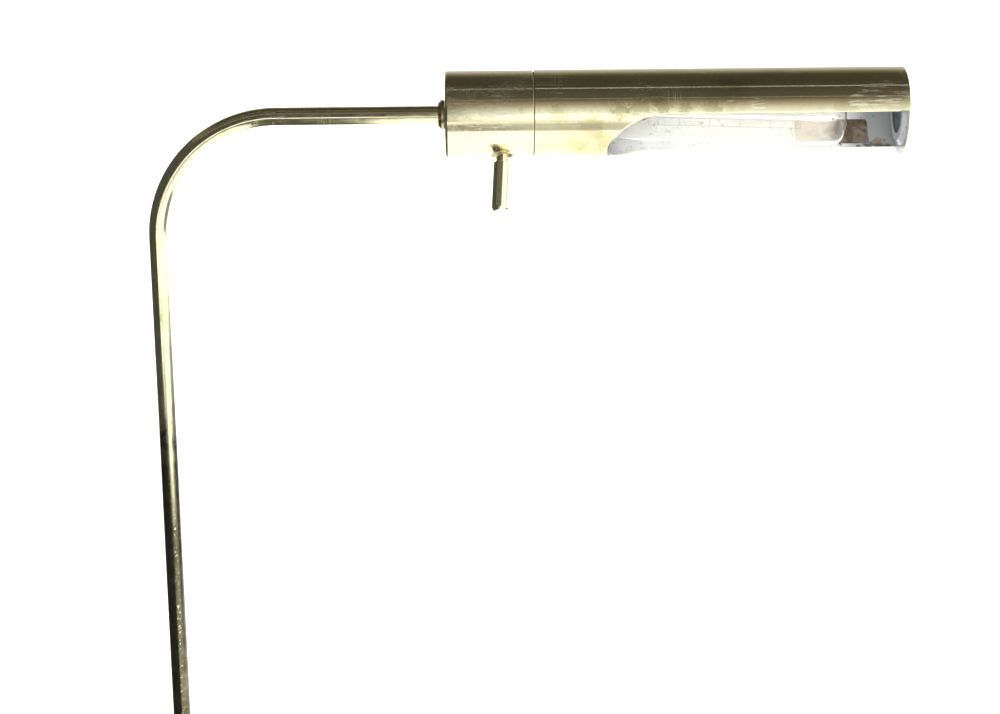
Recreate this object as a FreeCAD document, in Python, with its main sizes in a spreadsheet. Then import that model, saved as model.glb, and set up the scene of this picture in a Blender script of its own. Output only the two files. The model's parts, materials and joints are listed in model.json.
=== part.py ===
import FreeCAD, Part
import math
import os
import Sketcher
from FreeCAD import Placement, Rotation, Vector
from types import SimpleNamespace

# Adjustable brass reading lamp with a cylinder shade: a weighted round base, a telescoping post with a
# bent arm, and a turning head that holds a rear housing, a lampholder, a tubular lamp and a cut-out shade.
# Origin: centre of the base's underside. +Z is up, +X runs along the arm towards the head.
# Lengths in millimetres, angles in degrees.

doc = FreeCAD.newDocument("reading_lamp")
sheet = doc.addObject("Spreadsheet::Sheet", "sizes")

SIZES = [
    # base
    ("base_radius", 95), ("base_top", 20), ("base_shoulder", 15), ("base_crown", 30), ("base_lip", 0.8),
    ("base_wall", 1), ("base_bend", 3), ("felt_thick", 2), ("felt_gap", 1.5),
    ("weight_gap", 0.6), ("weight_chamfer", 4.5), ("nut_pocket", 14), ("nut_pocket_deep", 7),
    ("cord_height", 7.5), ("cord_bore", 3.1), ("bushing_neck", 4), ("bushing_flange", 5),
    ("bushing_barb", 4.5),
    ("bushing_plate", 2),
    ("cord_channel", 11),
    # post
    ("nipple_radius", 5), ("nipple_bore", 3.5), ("nipple_start", 3), ("nipple_end", 25.5),
    ("washer_radius", 12), ("washer_thick", 1.6), ("base_nut_flats", 16), ("base_nut_thick", 4),
    ("foot_radius", 20), ("foot_neck", 11), ("foot_height", 16), ("foot_rim", 2), ("post_seat", 6),
    ("post_radius", 8), ("post_wall", 1), ("post_top", 190),
    ("collar_radius", 11), ("collar_skirt", 12), ("collar_head", 14), ("collar_round", 1.5),
    ("boss_radius", 5), ("boss_reach", 15), ("screw_drop", 7),
    ("pad_radius", 2.4), ("pad_length", 2), ("pad_gap", 0.3),
    ("screw_radius", 2.45), ("screw_shank", 9.5), ("screw_head", 8), ("screw_head_thick", 5),
    # stem and arm
    ("arm_height", 600), ("arm_reach", 167), ("tube_radius", 5.15), ("tube_wall", 1), ("bend_radius", 70),
    ("stem_bottom", 145), ("bush_start", 150), ("bush_length", 10), ("clip_thick", 1),
    ("swivel_length", 3.4), ("swivel_small", 6.85), ("swivel_large", 8.55), ("swivel_washer_thick", 0.45),
    ("arm_nipple_bore", 3), ("arm_nipple_seat", 16), ("arm_nipple_end", 13),
    ("stack_radius", 8), ("inner_washer_thick", 0.8), ("spring_thick", 0.5), ("spring_rise", 0.6),
    ("tab_thick", 1), ("tab_reach", 12), ("tab_width", 3), ("lock_nut_flats", 13), ("lock_nut_thick", 3.5),
    # head
    ("head_roll", -37.5), ("head_bore", 24), ("housing_wall", 0.8), ("shade_wall", 1),
    ("end_plate", 1.5), ("housing_length", 50.2), ("housing_round", 1.5), ("seam", 0.5),
    ("head_length", 262.4), ("stop_radius", 10), ("stop_pin", 1), ("stop_length", 4.5),
    ("sleeve_wall", 1), ("sleeve_half", 7),
    ("cut_start", 91.5), ("cut_straight", 127.4), ("cut_plane", 12.5),
    ("disc_thick", 1), ("disc_flat", 5), ("disc_slope", 3), ("disc_dish", 2.2), ("vent_radius", 13),
    ("plug_thick", 0.8), ("label_start", 204), ("label_length", 43), ("label_middle", 87.5),
    ("label_angle", 40), ("label_thick", 0.2),
    # switch
    ("switch_place", 32.5), ("switch_roll", 11.5), ("switch_lean", 3.5), ("ferrule_body", 6.5),
    ("ferrule_mouth", 6.2), ("ferrule_floor", 2.3), ("ferrule_flange", 7.6), ("ferrule_back", 3.4),
    ("ferrule_lip", 1), ("switch_radius", 9), ("switch_deep", 13), ("bushing_radius", 3.7),
    ("bushing_end", 1.8), ("spindle_radius", 1.8), ("spindle_end", 10), ("knob_neck", 3.5),
    ("knob_neck_start", 1.2), ("knob_start", 4.2), ("knob_radius", 4.85), ("knob_length", 28.6),
    ("knob_round", 3.7),
    # lampholder
    ("bracket_front", 50), ("bracket_sheet", 1), ("bracket_gap", 2), ("bracket_width", 9),
    ("bracket_foot", 6), ("bracket_inset", 2), ("bracket_hole", 6), ("socket_rear", 17),
    ("socket_front", 18.5),
    ("socket_step", 62), ("socket_end", 90), ("socket_floor", 60), ("socket_bore", 15),
    ("socket_screw_place", 10.5), ("socket_screw", 1.5), ("socket_screw_head", 2.8),
    ("shell_radius", 14.4), ("shell_wall", 0.5), ("shell_thread", 0.35),
    ("contact_radius", 4), ("contact_thick", 0.6), ("holder_round", 1.2), ("screw_head_tall", 1.5),
    # lamp
    ("lamp_tip", 229.5), ("lamp_droop", 2), ("lamp_pivot", 76), ("lamp_eyelet", 62),
    ("cap_end", 88.5), ("cap_radius", 13), ("cap_groove", 0.7), ("thread_pitch", 3.629),
    ("cap_start", 65.5), ("eyelet_radius", 4.5), ("eyelet_thick", 0.8), ("glass_radius", 14.75),
    ("glass_neck", 12.2), ("glass_shoulder", 95), ("glass_wall", 0.7), ("glass_corner", 12),
    ("flare_radius", 4.2), ("flare_end", 116), ("filament_radius", 0.55), ("filament_end", 205),
    ("filament_offset", 5.5), ("mount_start", 7.258),
    # clearances and broken edges
    ("thread_fit", 0.05), ("running_fit", 0.1), ("seat_fit", 0.02), ("loose_fit", 0.4), ("edge_break", 0.6),
]
for row, (alias, number) in enumerate(SIZES, start=1):
    sheet.set("A%d" % row, alias)
    sheet.set("B%d" % row, str(number))
    sheet.setAlias("B%d" % row, alias)
doc.recompute()


# shares of one turn of the lamp's screw thread, and how far a cutter reaches past what it cuts
QUARTER_TURN = 0.25
HALF_TURN = 0.5
THREE_QUARTER_TURN = 0.75
CUTTER_REACH = 3


class Size:
    """A length or angle of the sheet, or one worked out from it: its number and its expression."""

    def __init__(self, number, text):
        self.number = number
        self.text = text

    def __float__(self):
        return self.number

    def __add__(self, other):
        return Size(self.number + float(other), "(%s + %s)" % (self.text, text_of(other)))

    def __sub__(self, other):
        return Size(self.number - float(other), "(%s - %s)" % (self.text, text_of(other)))

    def __mul__(self, factor):
        return Size(self.number * float(factor), "%s * %s" % (self.text, text_of(factor)))

    def __truediv__(self, divisor):
        return Size(self.number / float(divisor), "%s / %s" % (self.text, text_of(divisor)))

    def __neg__(self):
        return Size(-self.number, "(0 - %s)" % self.text)


def text_of(value):
    return value.text if isinstance(value, Size) else repr(value)


S = SimpleNamespace(**{alias: Size(float(getattr(sheet, alias)), "sizes." + alias) for alias, _ in SIZES})
S.arm_nipple_radius = S.tube_radius - S.tube_wall - S.thread_fit
S.clip_radius = S.post_radius - S.post_wall - S.loose_fit
S.housing_radius = S.head_bore + S.housing_wall
S.shade_radius = S.head_bore + S.shade_wall
S.disc_rim = S.shade_radius - S.disc_flat
S.disc_step = S.disc_rim - S.disc_slope
S.bracket_radius = S.head_bore - S.sleeve_wall - S.bracket_gap
NODES = {}
HEX_CORNER = 1 / math.sqrt(3)
ALONG_X = Rotation(Vector(0, 0, 1), Vector(1, 0, 0))


def keep(label, item):
    """Register a finished sub-part under the name of its file."""
    item.Label = label
    NODES[label] = item
    return item


def bind(item, **values):
    """Set properties of an object, tying each to the sheet where it comes from the sheet."""
    for name, value in values.items():
        path = name.replace("__", ".")
        if isinstance(value, Size):
            item.setExpression(path, value.text)
        else:
            item.setExpression(path, repr(float(value)))


# ---------------------------------------------------------------- sketches and turned pieces

def origin_item(body, role):
    return next(item for item in body.Origin.OriginFeatures if item.Role == role)


def new_sketch(body, role, name):
    sketch = body.newObject("Sketcher::SketchObject", name)
    sketch.AttachmentSupport = (origin_item(body, role), [""])
    sketch.MapMode = "FlatFace"
    return sketch


def fix_point(sketch, curve, end, place):
    """Hold one end of a sketch curve at a place whose coordinates come from the sheet."""
    kinds = (("DistanceX", -2, place[0]), ("DistanceY", -1, place[1]))
    for kind, axis, value in kinds:
        if float(value) == 0:
            sketch.addConstraint(Sketcher.Constraint("PointOnObject", curve, end, axis))
            continue
        index = sketch.addConstraint(Sketcher.Constraint(kind, -1, 1, curve, end, float(value)))
        if isinstance(value, Size):
            sketch.setExpression("Constraints[%d]" % index, value.text)


def closed_outline(sketch, corners):
    """Straight-sided closed outline through the corners."""
    places = [Vector(float(x), float(y), 0) for x, y in corners]
    count = len(places)
    for index, place in enumerate(places):
        sketch.addGeometry(Part.LineSegment(place, places[(index + 1) % count]), False)
    for index in range(count):
        sketch.addConstraint(Sketcher.Constraint("Coincident", index, 2, (index + 1) % count, 1))
    for index, corner in enumerate(corners):
        fix_point(sketch, index, 1, corner)


def turned_body(label, corners, about="Z"):
    """A piece turned on a lathe: corners are (radius, height) about Z, or (length, radius) about X."""
    body = doc.addObject("PartDesign::Body", label + "_body")
    role, axis = ("XZ_Plane", "V_Axis") if about == "Z" else ("XY_Plane", "H_Axis")
    sketch = new_sketch(body, role, label + "_profile")
    closed_outline(sketch, corners)
    turn = body.newObject("PartDesign::Revolution", label + "_turn")
    turn.Profile = sketch
    turn.ReferenceAxis = (sketch, [axis])
    turn.Angle = 360
    body.Tip = turn
    return keep(label, body)


def ring(label, inner, outer, start, end, about="Z"):
    """A plain ring or tube between two radii and two places along its axis."""
    if about == "Z":
        corners = [(inner, start), (outer, start), (outer, end), (inner, end)]
    else:
        corners = [(start, inner), (end, inner), (end, outer), (start, outer)]
    return turned_body(label, corners, about)


def rod(label, radius, start, end, about="Z"):
    return ring(label, 0, radius, start, end, about)


def is_ring_edge(edge, radius, along, place):
    curve = edge.Curve
    if curve.TypeId != "Part::GeomCircle" or abs(curve.Radius - float(radius)) > 1e-4:
        return False
    return abs(curve.Center[along] - float(place)) < 1e-4


def round_edges(body, places, radius, along, kind="Fillet"):
    """Round or chamfer the circular edges found at (radius, place along the axis)."""
    doc.recompute()
    base = body.Tip
    names = []
    for edge_radius, place in places:
        for number, edge in enumerate(base.Shape.Edges, start=1):
            if is_ring_edge(edge, edge_radius, along, place):
                names.append("Edge%d" % number)
    if len(names) < len(places):
        raise RuntimeError("no edge to round on " + body.Label)
    feature = body.newObject("PartDesign::" + kind, "%s_%s" % (body.Label, kind.lower()))
    feature.Base = (base, names)
    if kind == "Fillet":
        bind(feature, Radius=radius)
    else:
        bind(feature, Size=radius)
    body.Tip = feature
    return feature


def pocket_outline(body, role, corners, name, depth, both=True):
    """Cut a straight-sided outline out of a body, the same way to both sides of its plane."""
    doc.recompute()
    before = body.Tip.Shape.Volume
    sketch = new_sketch(body, role, name + "_outline")
    closed_outline(sketch, corners)
    return finish_pocket(body, sketch, name, depth, before, both)


def finish_pocket(body, sketch, name, depth, before, both=True, turn_round=False):
    pocket = body.newObject("PartDesign::Pocket", name)
    pocket.Profile = sketch
    bind(pocket, Length=depth)
    pocket.Midplane = both
    pocket.Reversed = turn_round
    body.Tip = pocket
    doc.recompute()
    if not pocket.Shape.Volume < before - 1e-3:
        raise RuntimeError(name + " cuts nothing")
    return pocket


# ---------------------------------------------------------------- primitives and booleans

def cylinder(name, radius, height, base=(0, 0, 0), direction=(0, 0, 1)):
    item = doc.addObject("Part::Cylinder", name)
    item.Placement = Placement(Vector(0, 0, 0), Rotation(Vector(0, 0, 1), Vector(*direction)))
    bind(item, Radius=radius, Height=height, Placement__Base__x=base[0], Placement__Base__y=base[1],
         Placement__Base__z=base[2])
    return item


def box(name, length, width, height, corner):
    item = doc.addObject("Part::Box", name)
    bind(item, Length=length, Width=width, Height=height, Placement__Base__x=corner[0],
         Placement__Base__y=corner[1], Placement__Base__z=corner[2])
    return item


def prism(name, flats, height, base=(0, 0, 0), direction=(0, 0, 1)):
    item = doc.addObject("Part::Prism", name)
    item.Polygon = 6
    item.Placement = Placement(Vector(0, 0, 0), Rotation(Vector(0, 0, 1), Vector(*direction)))
    bind(item, Circumradius=flats * HEX_CORNER, Height=height, Placement__Base__x=base[0],
         Placement__Base__y=base[1], Placement__Base__z=base[2])
    return item


def cut(name, base, tool):
    item = doc.addObject("Part::Cut", name)
    item.Base = base
    item.Tool = tool
    return item


def fuse(name, pieces):
    item = doc.addObject("Part::MultiFuse", name)
    item.Shapes = pieces
    return item


def common(name, pieces):
    item = doc.addObject("Part::MultiCommon", name)
    item.Shapes = pieces
    return item


def group(label, pieces):
    """Separate solids that share one node."""
    item = doc.addObject("Part::Compound", label)
    item.Links = pieces
    return keep(label, item)


# ---------------------------------------------------------------- base

def build_base():
    inner = S.base_radius - S.base_wall
    under = S.base_top - S.base_wall
    hole = S.nipple_radius + S.thread_fit

    cover = turned_body("base_cover", [
        (hole, under), (S.base_crown, under), (inner, S.base_shoulder - S.base_wall), (inner, S.base_lip),
        (S.base_radius, S.base_lip), (S.base_radius, S.base_shoulder), (S.base_crown, S.base_top),
        (hole, S.base_top)])
    round_edges(cover, [(S.base_radius, S.base_shoulder)], S.base_bend, 2)
    round_edges(cover, [(inner, S.base_shoulder - S.base_wall)], S.base_bend - S.base_wall, 2)
    doc.recompute()
    cord_hole = new_sketch(cover, "YZ_Plane", "cord_hole_outline")
    cord_hole.addGeometry(Part.Circle(Vector(0, float(S.cord_height), 0), Vector(0, 0, 1),
                                      float(S.bushing_neck + S.running_fit)), False)
    fix_point(cord_hole, 0, 3, (0, S.cord_height))
    ring_size = cord_hole.addConstraint(Sketcher.Constraint(
        "Radius", 0, float(S.bushing_neck + S.running_fit)))
    cord_hole.setExpression("Constraints[%d]" % ring_size, (S.bushing_neck + S.running_fit).text)
    before = cover.Tip.Shape.Volume
    finish_pocket(cover, cord_hole, "cord_hole", S.base_radius + S.base_wall, before, both=False)

    rim = inner - S.weight_gap
    weight = turned_body("base_weight", [
        (hole, S.felt_thick + S.nut_pocket_deep), (S.nut_pocket, S.felt_thick + S.nut_pocket_deep),
        (S.nut_pocket, S.felt_thick), (rim, S.felt_thick),
        (rim, S.base_shoulder - S.base_wall - S.weight_chamfer),
        (rim - S.weight_chamfer, S.base_shoulder - S.base_wall - S.weight_gap),
        (S.base_crown - S.base_wall, under), (hole, under)])
    pocket_outline(weight, "YZ_Plane", [
        (-S.cord_channel / 2, 0), (S.cord_channel / 2, 0),
        (S.cord_channel / 2, S.cord_height + S.cord_channel / 2),
        (-S.cord_channel / 2, S.cord_height + S.cord_channel / 2)],
        "cord_channel", S.base_radius, both=False)

    rod("felt_pad", inner - S.felt_gap, 0, S.felt_thick)

    outside = -S.base_radius
    inside = -inner
    turned_body("cord_bushing", [
        (outside - S.bushing_plate, S.cord_bore), (outside - S.bushing_plate, S.bushing_flange),
        (outside, S.bushing_flange), (outside, S.bushing_neck), (inside + S.loose_fit, S.bushing_neck),
        (inside + S.loose_fit, S.bushing_barb), (inside + S.bushing_plate, S.bushing_barb),
        (inside + S.bushing_plate, S.cord_bore)], about="X")
    bind(NODES["cord_bushing"], Placement__Base__z=S.cord_height)

    roof = S.felt_thick + S.nut_pocket_deep
    ring("base_washer", hole, S.washer_radius, roof - S.washer_thick, roof)
    nut_start = roof - S.washer_thick - S.base_nut_thick
    blank = prism("base_nut_blank", S.base_nut_flats, S.base_nut_thick, (0, 0, nut_start))
    bore = cylinder("base_nut_bore", hole, S.base_nut_thick, (0, 0, nut_start))
    keep("base_nut", cut("base_nut", blank, bore))
    ring("post_nipple", S.nipple_bore, S.nipple_radius, S.nipple_start, S.nipple_end)


# ---------------------------------------------------------------- post and clamp

def build_post():
    hole = S.nipple_radius + S.thread_fit
    socket = S.post_radius + S.seat_fit
    seat = S.base_top + S.post_seat
    top = S.base_top + S.foot_height
    foot = turned_body("post_foot", [
        (hole, S.base_top), (S.foot_radius, S.base_top), (S.foot_radius, S.base_top + S.foot_rim),
        (S.foot_neck + S.foot_rim, top - S.post_seat), (S.foot_neck, top - S.post_seat),
        (S.foot_neck, top), (socket, top), (socket, seat), (hole, seat)])
    round_edges(foot, [(S.foot_neck, top)], S.edge_break, 2)

    ring("post_tube", S.post_radius - S.post_wall, S.post_radius, seat, S.post_top)

    collar_top = S.post_top + S.collar_head
    collar_foot = S.post_top - S.collar_skirt
    guide = S.tube_radius + S.running_fit
    collar = turned_body("collar_blank", [
        (guide, S.post_top), (guide, collar_top), (S.collar_radius, collar_top),
        (S.collar_radius, collar_foot), (socket, collar_foot), (socket, S.post_top)])
    NODES.pop("collar_blank")
    round_edges(collar, [(S.collar_radius, collar_top), (S.collar_radius, collar_foot)], S.collar_round, 2)
    screw_height = collar_top - S.screw_drop
    boss = cylinder("collar_boss", S.boss_radius, S.boss_reach - guide, (-guide, 0, screw_height), (-1, 0, 0))
    stem_way = cylinder("collar_stem_way", guide, S.collar_head, (0, 0, S.post_top))
    screw_way = cylinder("collar_screw_way", S.screw_radius + S.thread_fit, S.boss_reach,
                         (0, 0, screw_height), (-1, 0, 0))
    blank = fuse("collar_with_boss", [collar, boss])
    keep("post_collar", cut("post_collar", blank, fuse("collar_ways", [stem_way, screw_way])))

    pad_face = S.tube_radius + S.pad_gap
    keep("clamp_pad", cylinder("clamp_pad", S.pad_radius, S.pad_length, (-pad_face, 0, screw_height),
                               (-1, 0, 0)))
    tip = pad_face + S.pad_length + S.thread_fit
    neck = tip + S.screw_shank
    head_end = neck + S.screw_head_thick
    screw = turned_body("thumb_screw", [
        (-tip, 0), (-tip, S.screw_radius), (-neck, S.screw_radius), (-neck, S.screw_head),
        (-head_end, S.screw_head), (-head_end, 0)], about="X")
    screw.Placement = Placement(Vector(0, 0, float(screw_height)), Rotation())
    bind(screw, Placement__Base__z=screw_height)
    round_edges(screw, [(S.screw_head, -neck), (S.screw_head, -head_end)], S.edge_break, 0, "Chamfer")


# ---------------------------------------------------------------- stem, arm and swivel

def build_arm():
    bore = S.tube_radius - S.tube_wall
    arm_end = S.arm_reach - S.swivel_washer_thick - S.swivel_length

    body = doc.addObject("PartDesign::Body", "stem_arm_body")
    path = new_sketch(body, "XZ_Plane", "stem_arm_path")
    bend_start = S.arm_height - S.bend_radius
    centre = Vector(float(S.bend_radius), float(bend_start), 0)
    path.addGeometry(
        Part.LineSegment(Vector(0, float(S.stem_bottom), 0), Vector(0, float(bend_start), 0)), False)
    circle = Part.Circle(centre, Vector(0, 0, 1), float(S.bend_radius))
    path.addGeometry(Part.ArcOfCircle(circle, math.pi / 2, math.pi), False)
    path.addGeometry(Part.LineSegment(Vector(float(S.bend_radius), float(S.arm_height), 0),
                                      Vector(float(arm_end), float(S.arm_height), 0)), False)
    path.addConstraint(Sketcher.Constraint("Coincident", 0, 2, 1, 2))
    path.addConstraint(Sketcher.Constraint("Coincident", 1, 1, 2, 1))
    fix_point(path, 0, 1, (0, S.stem_bottom))
    fix_point(path, 0, 2, (0, bend_start))
    fix_point(path, 2, 1, (S.bend_radius, S.arm_height))
    fix_point(path, 2, 2, (arm_end, S.arm_height))
    across = path.addConstraint(Sketcher.Constraint("DistanceX", -1, 1, 1, 3, float(S.bend_radius)))
    path.setExpression("Constraints[%d]" % across, S.bend_radius.text)

    section = new_sketch(body, "XY_Plane", "stem_arm_section")
    section.AttachmentOffset = Placement(Vector(0, 0, float(S.stem_bottom)), Rotation())
    section.setExpression("AttachmentOffset.Base.z", S.stem_bottom.text)
    for number, radius in enumerate((S.tube_radius, bore)):
        section.addGeometry(Part.Circle(Vector(0, 0, 0), Vector(0, 0, 1), float(radius)), False)
        section.addConstraint(Sketcher.Constraint("Coincident", number, 3, -1, 1))
        index = section.addConstraint(Sketcher.Constraint("Radius", number, float(radius)))
        section.setExpression("Constraints[%d]" % index, radius.text)
    pipe = body.newObject("PartDesign::AdditivePipe", "stem_arm_pipe")
    pipe.Profile = section
    pipe.Spine = path
    body.Tip = pipe
    keep("stem_arm", body)

    bush_end = S.bush_start + S.bush_length
    ring("guide_bush", S.tube_radius + S.running_fit, S.post_radius - S.post_wall - S.running_fit,
         S.bush_start, bush_end)
    clips = []
    for name, start in (("lower_clip", S.bush_start - S.running_fit - S.clip_thick),
                        ("upper_clip", bush_end + S.running_fit)):
        clip = ring(name, S.tube_radius + S.seat_fit, S.clip_radius, start, start + S.clip_thick)
        NODES.pop(name)
        clips.append(clip)
    group("bush_clips", clips)

    turned_body("swivel_collar", [
        (arm_end, S.arm_nipple_radius + S.seat_fit), (arm_end, S.swivel_small),
        (arm_end + S.swivel_length / 2, S.swivel_large), (arm_end + S.swivel_length, S.swivel_large),
        (arm_end + S.swivel_length, S.arm_nipple_radius + S.seat_fit)], about="X")
    ring("swivel_washer", S.arm_nipple_radius + S.seat_fit, S.stack_radius, arm_end + S.swivel_length,
         S.arm_reach - S.thread_fit, about="X")
    ring("arm_nipple", S.arm_nipple_bore, S.arm_nipple_radius, arm_end - S.arm_nipple_seat,
         S.arm_reach + S.arm_nipple_end, about="X")

    # friction stack inside the head: flat washer, dished spring washer, tabbed stop washer, nut
    hole = S.arm_nipple_radius + S.seat_fit
    start = S.arm_reach + S.end_plate + S.thread_fit
    flat_end = start + S.inner_washer_thick
    ring("inner_washer", hole, S.stack_radius, start, flat_end, about="X")
    dish_end = flat_end + S.spring_rise + S.spring_thick
    turned_body("spring_washer", [
        (flat_end, S.stack_radius), (flat_end + S.spring_rise, hole), (dish_end, hole),
        (flat_end + S.spring_thick, S.stack_radius)], about="X")
    tab_end = dish_end + S.tab_thick
    disc = cylinder("tab_disc", S.stack_radius, S.tab_thick, (dish_end - S.arm_reach, 0, 0), (1, 0, 0))
    tab = box("tab_tongue", S.tab_thick, S.tab_width, S.tab_reach,
              (dish_end - S.arm_reach, -S.tab_width / 2, -S.tab_reach))
    way = cylinder("tab_way", hole, S.tab_thick, (dish_end - S.arm_reach, 0, 0), (1, 0, 0))
    keep("stop_washer", seat_on_head(cut("stop_washer", fuse("tab_blank", [disc, tab]), way)))
    blank = prism("lock_nut_blank", S.lock_nut_flats, S.lock_nut_thick, (tab_end, 0, 0), (1, 0, 0))
    bore_tool = cylinder("lock_nut_bore", hole, S.lock_nut_thick, (tab_end, 0, 0), (1, 0, 0))
    keep("lock_nut", cut("lock_nut", blank, bore_tool))
    for label in ("swivel_collar", "swivel_washer", "arm_nipple", "inner_washer", "spring_washer",
                  "lock_nut"):
        bind(NODES[label], Placement__Base__z=S.arm_height)


# ---------------------------------------------------------------- head
# Head pieces are drawn about X from the back of the head, with the shade's opening towards -Z,
# and are then turned about the arm's axis by the head's roll.

def seat_on_head(item):
    item.Placement = Placement(Vector(0, 0, 0), Rotation(Vector(1, 0, 0), float(S.head_roll)))
    bind(item, Placement__Base__x=S.arm_reach, Placement__Base__z=S.arm_height,
         Placement__Rotation__Angle=S.head_roll)
    return item


def build_housing():
    plate_hole = S.arm_nipple_radius + S.running_fit
    housing = turned_body("rear_housing", [
        (0, plate_hole), (0, S.housing_radius), (S.housing_length, S.housing_radius),
        (S.housing_length, S.head_bore), (S.end_plate, S.head_bore), (S.end_plate, plate_hole)], about="X")
    round_edges(housing, [(S.housing_radius, 0)], S.housing_round, 0)
    NODES.pop("rear_housing")
    hole = doc.addObject("Part::Cylinder", "ferrule_hole")
    bind(hole, Radius=S.ferrule_body + S.seat_fit, Height=S.housing_radius * 2)
    hole.Placement = switch_place_on_head()
    keep("rear_housing", seat_on_head(cut("rear_housing", housing, hole)))

    pin = doc.addObject("Part::Cylinder", "stop_pin")
    bind(pin, Radius=S.stop_pin, Height=S.stop_length)
    seat = Placement(Vector(float(S.end_plate), 0, float(S.stop_radius)), ALONG_X)
    pin.Placement = head_frame().multiply(seat)
    keep("stop_pin", pin)

    middle = S.housing_length + S.seam / 2
    sleeve = ring("joining_sleeve", S.head_bore - S.sleeve_wall, S.head_bore - S.running_fit,
                  middle - S.sleeve_half, middle + S.sleeve_half, about="X")
    seat_on_head(sleeve)


def head_frame():
    return Placement(Vector(float(S.arm_reach), 0, float(S.arm_height)),
                     Rotation(Vector(1, 0, 0), float(S.head_roll)))


def build_shade():
    start = S.housing_length + S.seam
    end = S.head_length - S.disc_thick
    shade = ring("shade_tube", S.head_bore, S.shade_radius, start, end, about="X")
    doc.recompute()
    before = shade.Tip.Shape.Volume
    sketch = new_sketch(shade, "XZ_Plane", "shade_cut_outline")
    beyond = end + S.shade_radius
    below = S.shade_radius * 2
    run = float(S.cut_straight - S.cut_start)
    rise = float(S.shade_radius - S.cut_plane)
    arc_radius = (run * run + rise * rise) / (2 * rise)
    centre = Vector(float(S.cut_straight), -float(S.cut_plane) - arc_radius, 0)
    circle = Part.Circle(centre, Vector(0, 0, 1), arc_radius)
    corners = [(beyond, -S.cut_plane), (S.cut_straight, -S.cut_plane), (S.cut_start, -S.shade_radius),
               (S.cut_start, -below), (beyond, -below)]
    places = [Vector(float(x), float(y), 0) for x, y in corners]
    sketch.addGeometry(Part.LineSegment(places[0], places[1]), False)
    sketch.addGeometry(
        Part.ArcOfCircle(circle, math.pi / 2, math.pi / 2 + math.asin(run / arc_radius)), False)
    sketch.addGeometry(Part.LineSegment(places[2], places[3]), False)
    sketch.addGeometry(Part.LineSegment(places[3], places[4]), False)
    sketch.addGeometry(Part.LineSegment(places[4], places[0]), False)
    sketch.addConstraint(Sketcher.Constraint("Tangent", 0, 2, 1, 1))
    sketch.addConstraint(Sketcher.Constraint("Coincident", 1, 2, 2, 1))
    sketch.addConstraint(Sketcher.Constraint("Coincident", 2, 2, 3, 1))
    sketch.addConstraint(Sketcher.Constraint("Coincident", 3, 2, 4, 1))
    sketch.addConstraint(Sketcher.Constraint("Coincident", 4, 2, 0, 1))
    for curve, corner in ((0, 0), (2, 2), (3, 3), (4, 4)):
        fix_point(sketch, curve, 1, corners[corner])
    fix_point(sketch, 0, 2, corners[1])
    finish_pocket(shade, sketch, "shade_cut", S.shade_radius * CUTTER_REACH, before)
    seat_on_head(shade)

    disc = turned_body("end_disc", [
        (end, S.shade_radius), (end + S.disc_thick, S.shade_radius), (end + S.disc_thick, S.disc_rim),
        (end + S.disc_thick - S.disc_dish, S.disc_step), (end + S.disc_thick - S.disc_dish, S.vent_radius),
        (end - S.disc_dish, S.vent_radius), (end - S.disc_dish, S.disc_step), (end, S.disc_rim)], about="X")
    seat_on_head(disc)
    plug_start = end + S.disc_thick - S.disc_dish
    seat_on_head(rod("vent_plug", S.disc_step - S.plug_thick,
                     plug_start, plug_start + S.plug_thick, about="X"))

    # paper label: a patch of a thin sleeve just inside the bore
    lining = doc.addObject("Part::Feature", "heat_label")
    outer = float(S.head_bore)
    sweep = float(S.label_angle)
    blank = Part.makeCylinder(outer, float(S.label_length), Vector(0, 0, 0), Vector(0, 0, 1), sweep)
    core = Part.makeCylinder(outer - float(S.label_thick), float(S.label_length), Vector(0, 0, 0),
                             Vector(0, 0, 1), sweep)
    lining.Shape = blank.cut(core)
    patch = Placement(Vector(float(S.label_start), 0, 0), ALONG_X)
    first = Rotation(Vector(1, 0, 0), float(S.label_middle) - sweep / 2)
    lining.Placement = head_frame().multiply(Placement(Vector(0, 0, 0), first)).multiply(patch)
    keep("heat_label", lining)


# ---------------------------------------------------------------- switch
# Switch pieces are drawn about Z from the head's axis outwards. The hole in the housing is a little
# off square, so that the knob leans towards the arm.

def switch_place_on_head():
    centre = Placement(Vector(float(S.switch_place), 0, 0),
                       Rotation(Vector(1, 0, 0), 180 + float(S.switch_roll)))
    wall = Placement(Vector(0, 0, float(S.head_bore)), Rotation(Vector(0, 1, 0), -float(S.switch_lean)))
    back = Placement(Vector(0, 0, -float(S.head_bore)), Rotation())
    return centre.multiply(wall).multiply(back)


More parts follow.
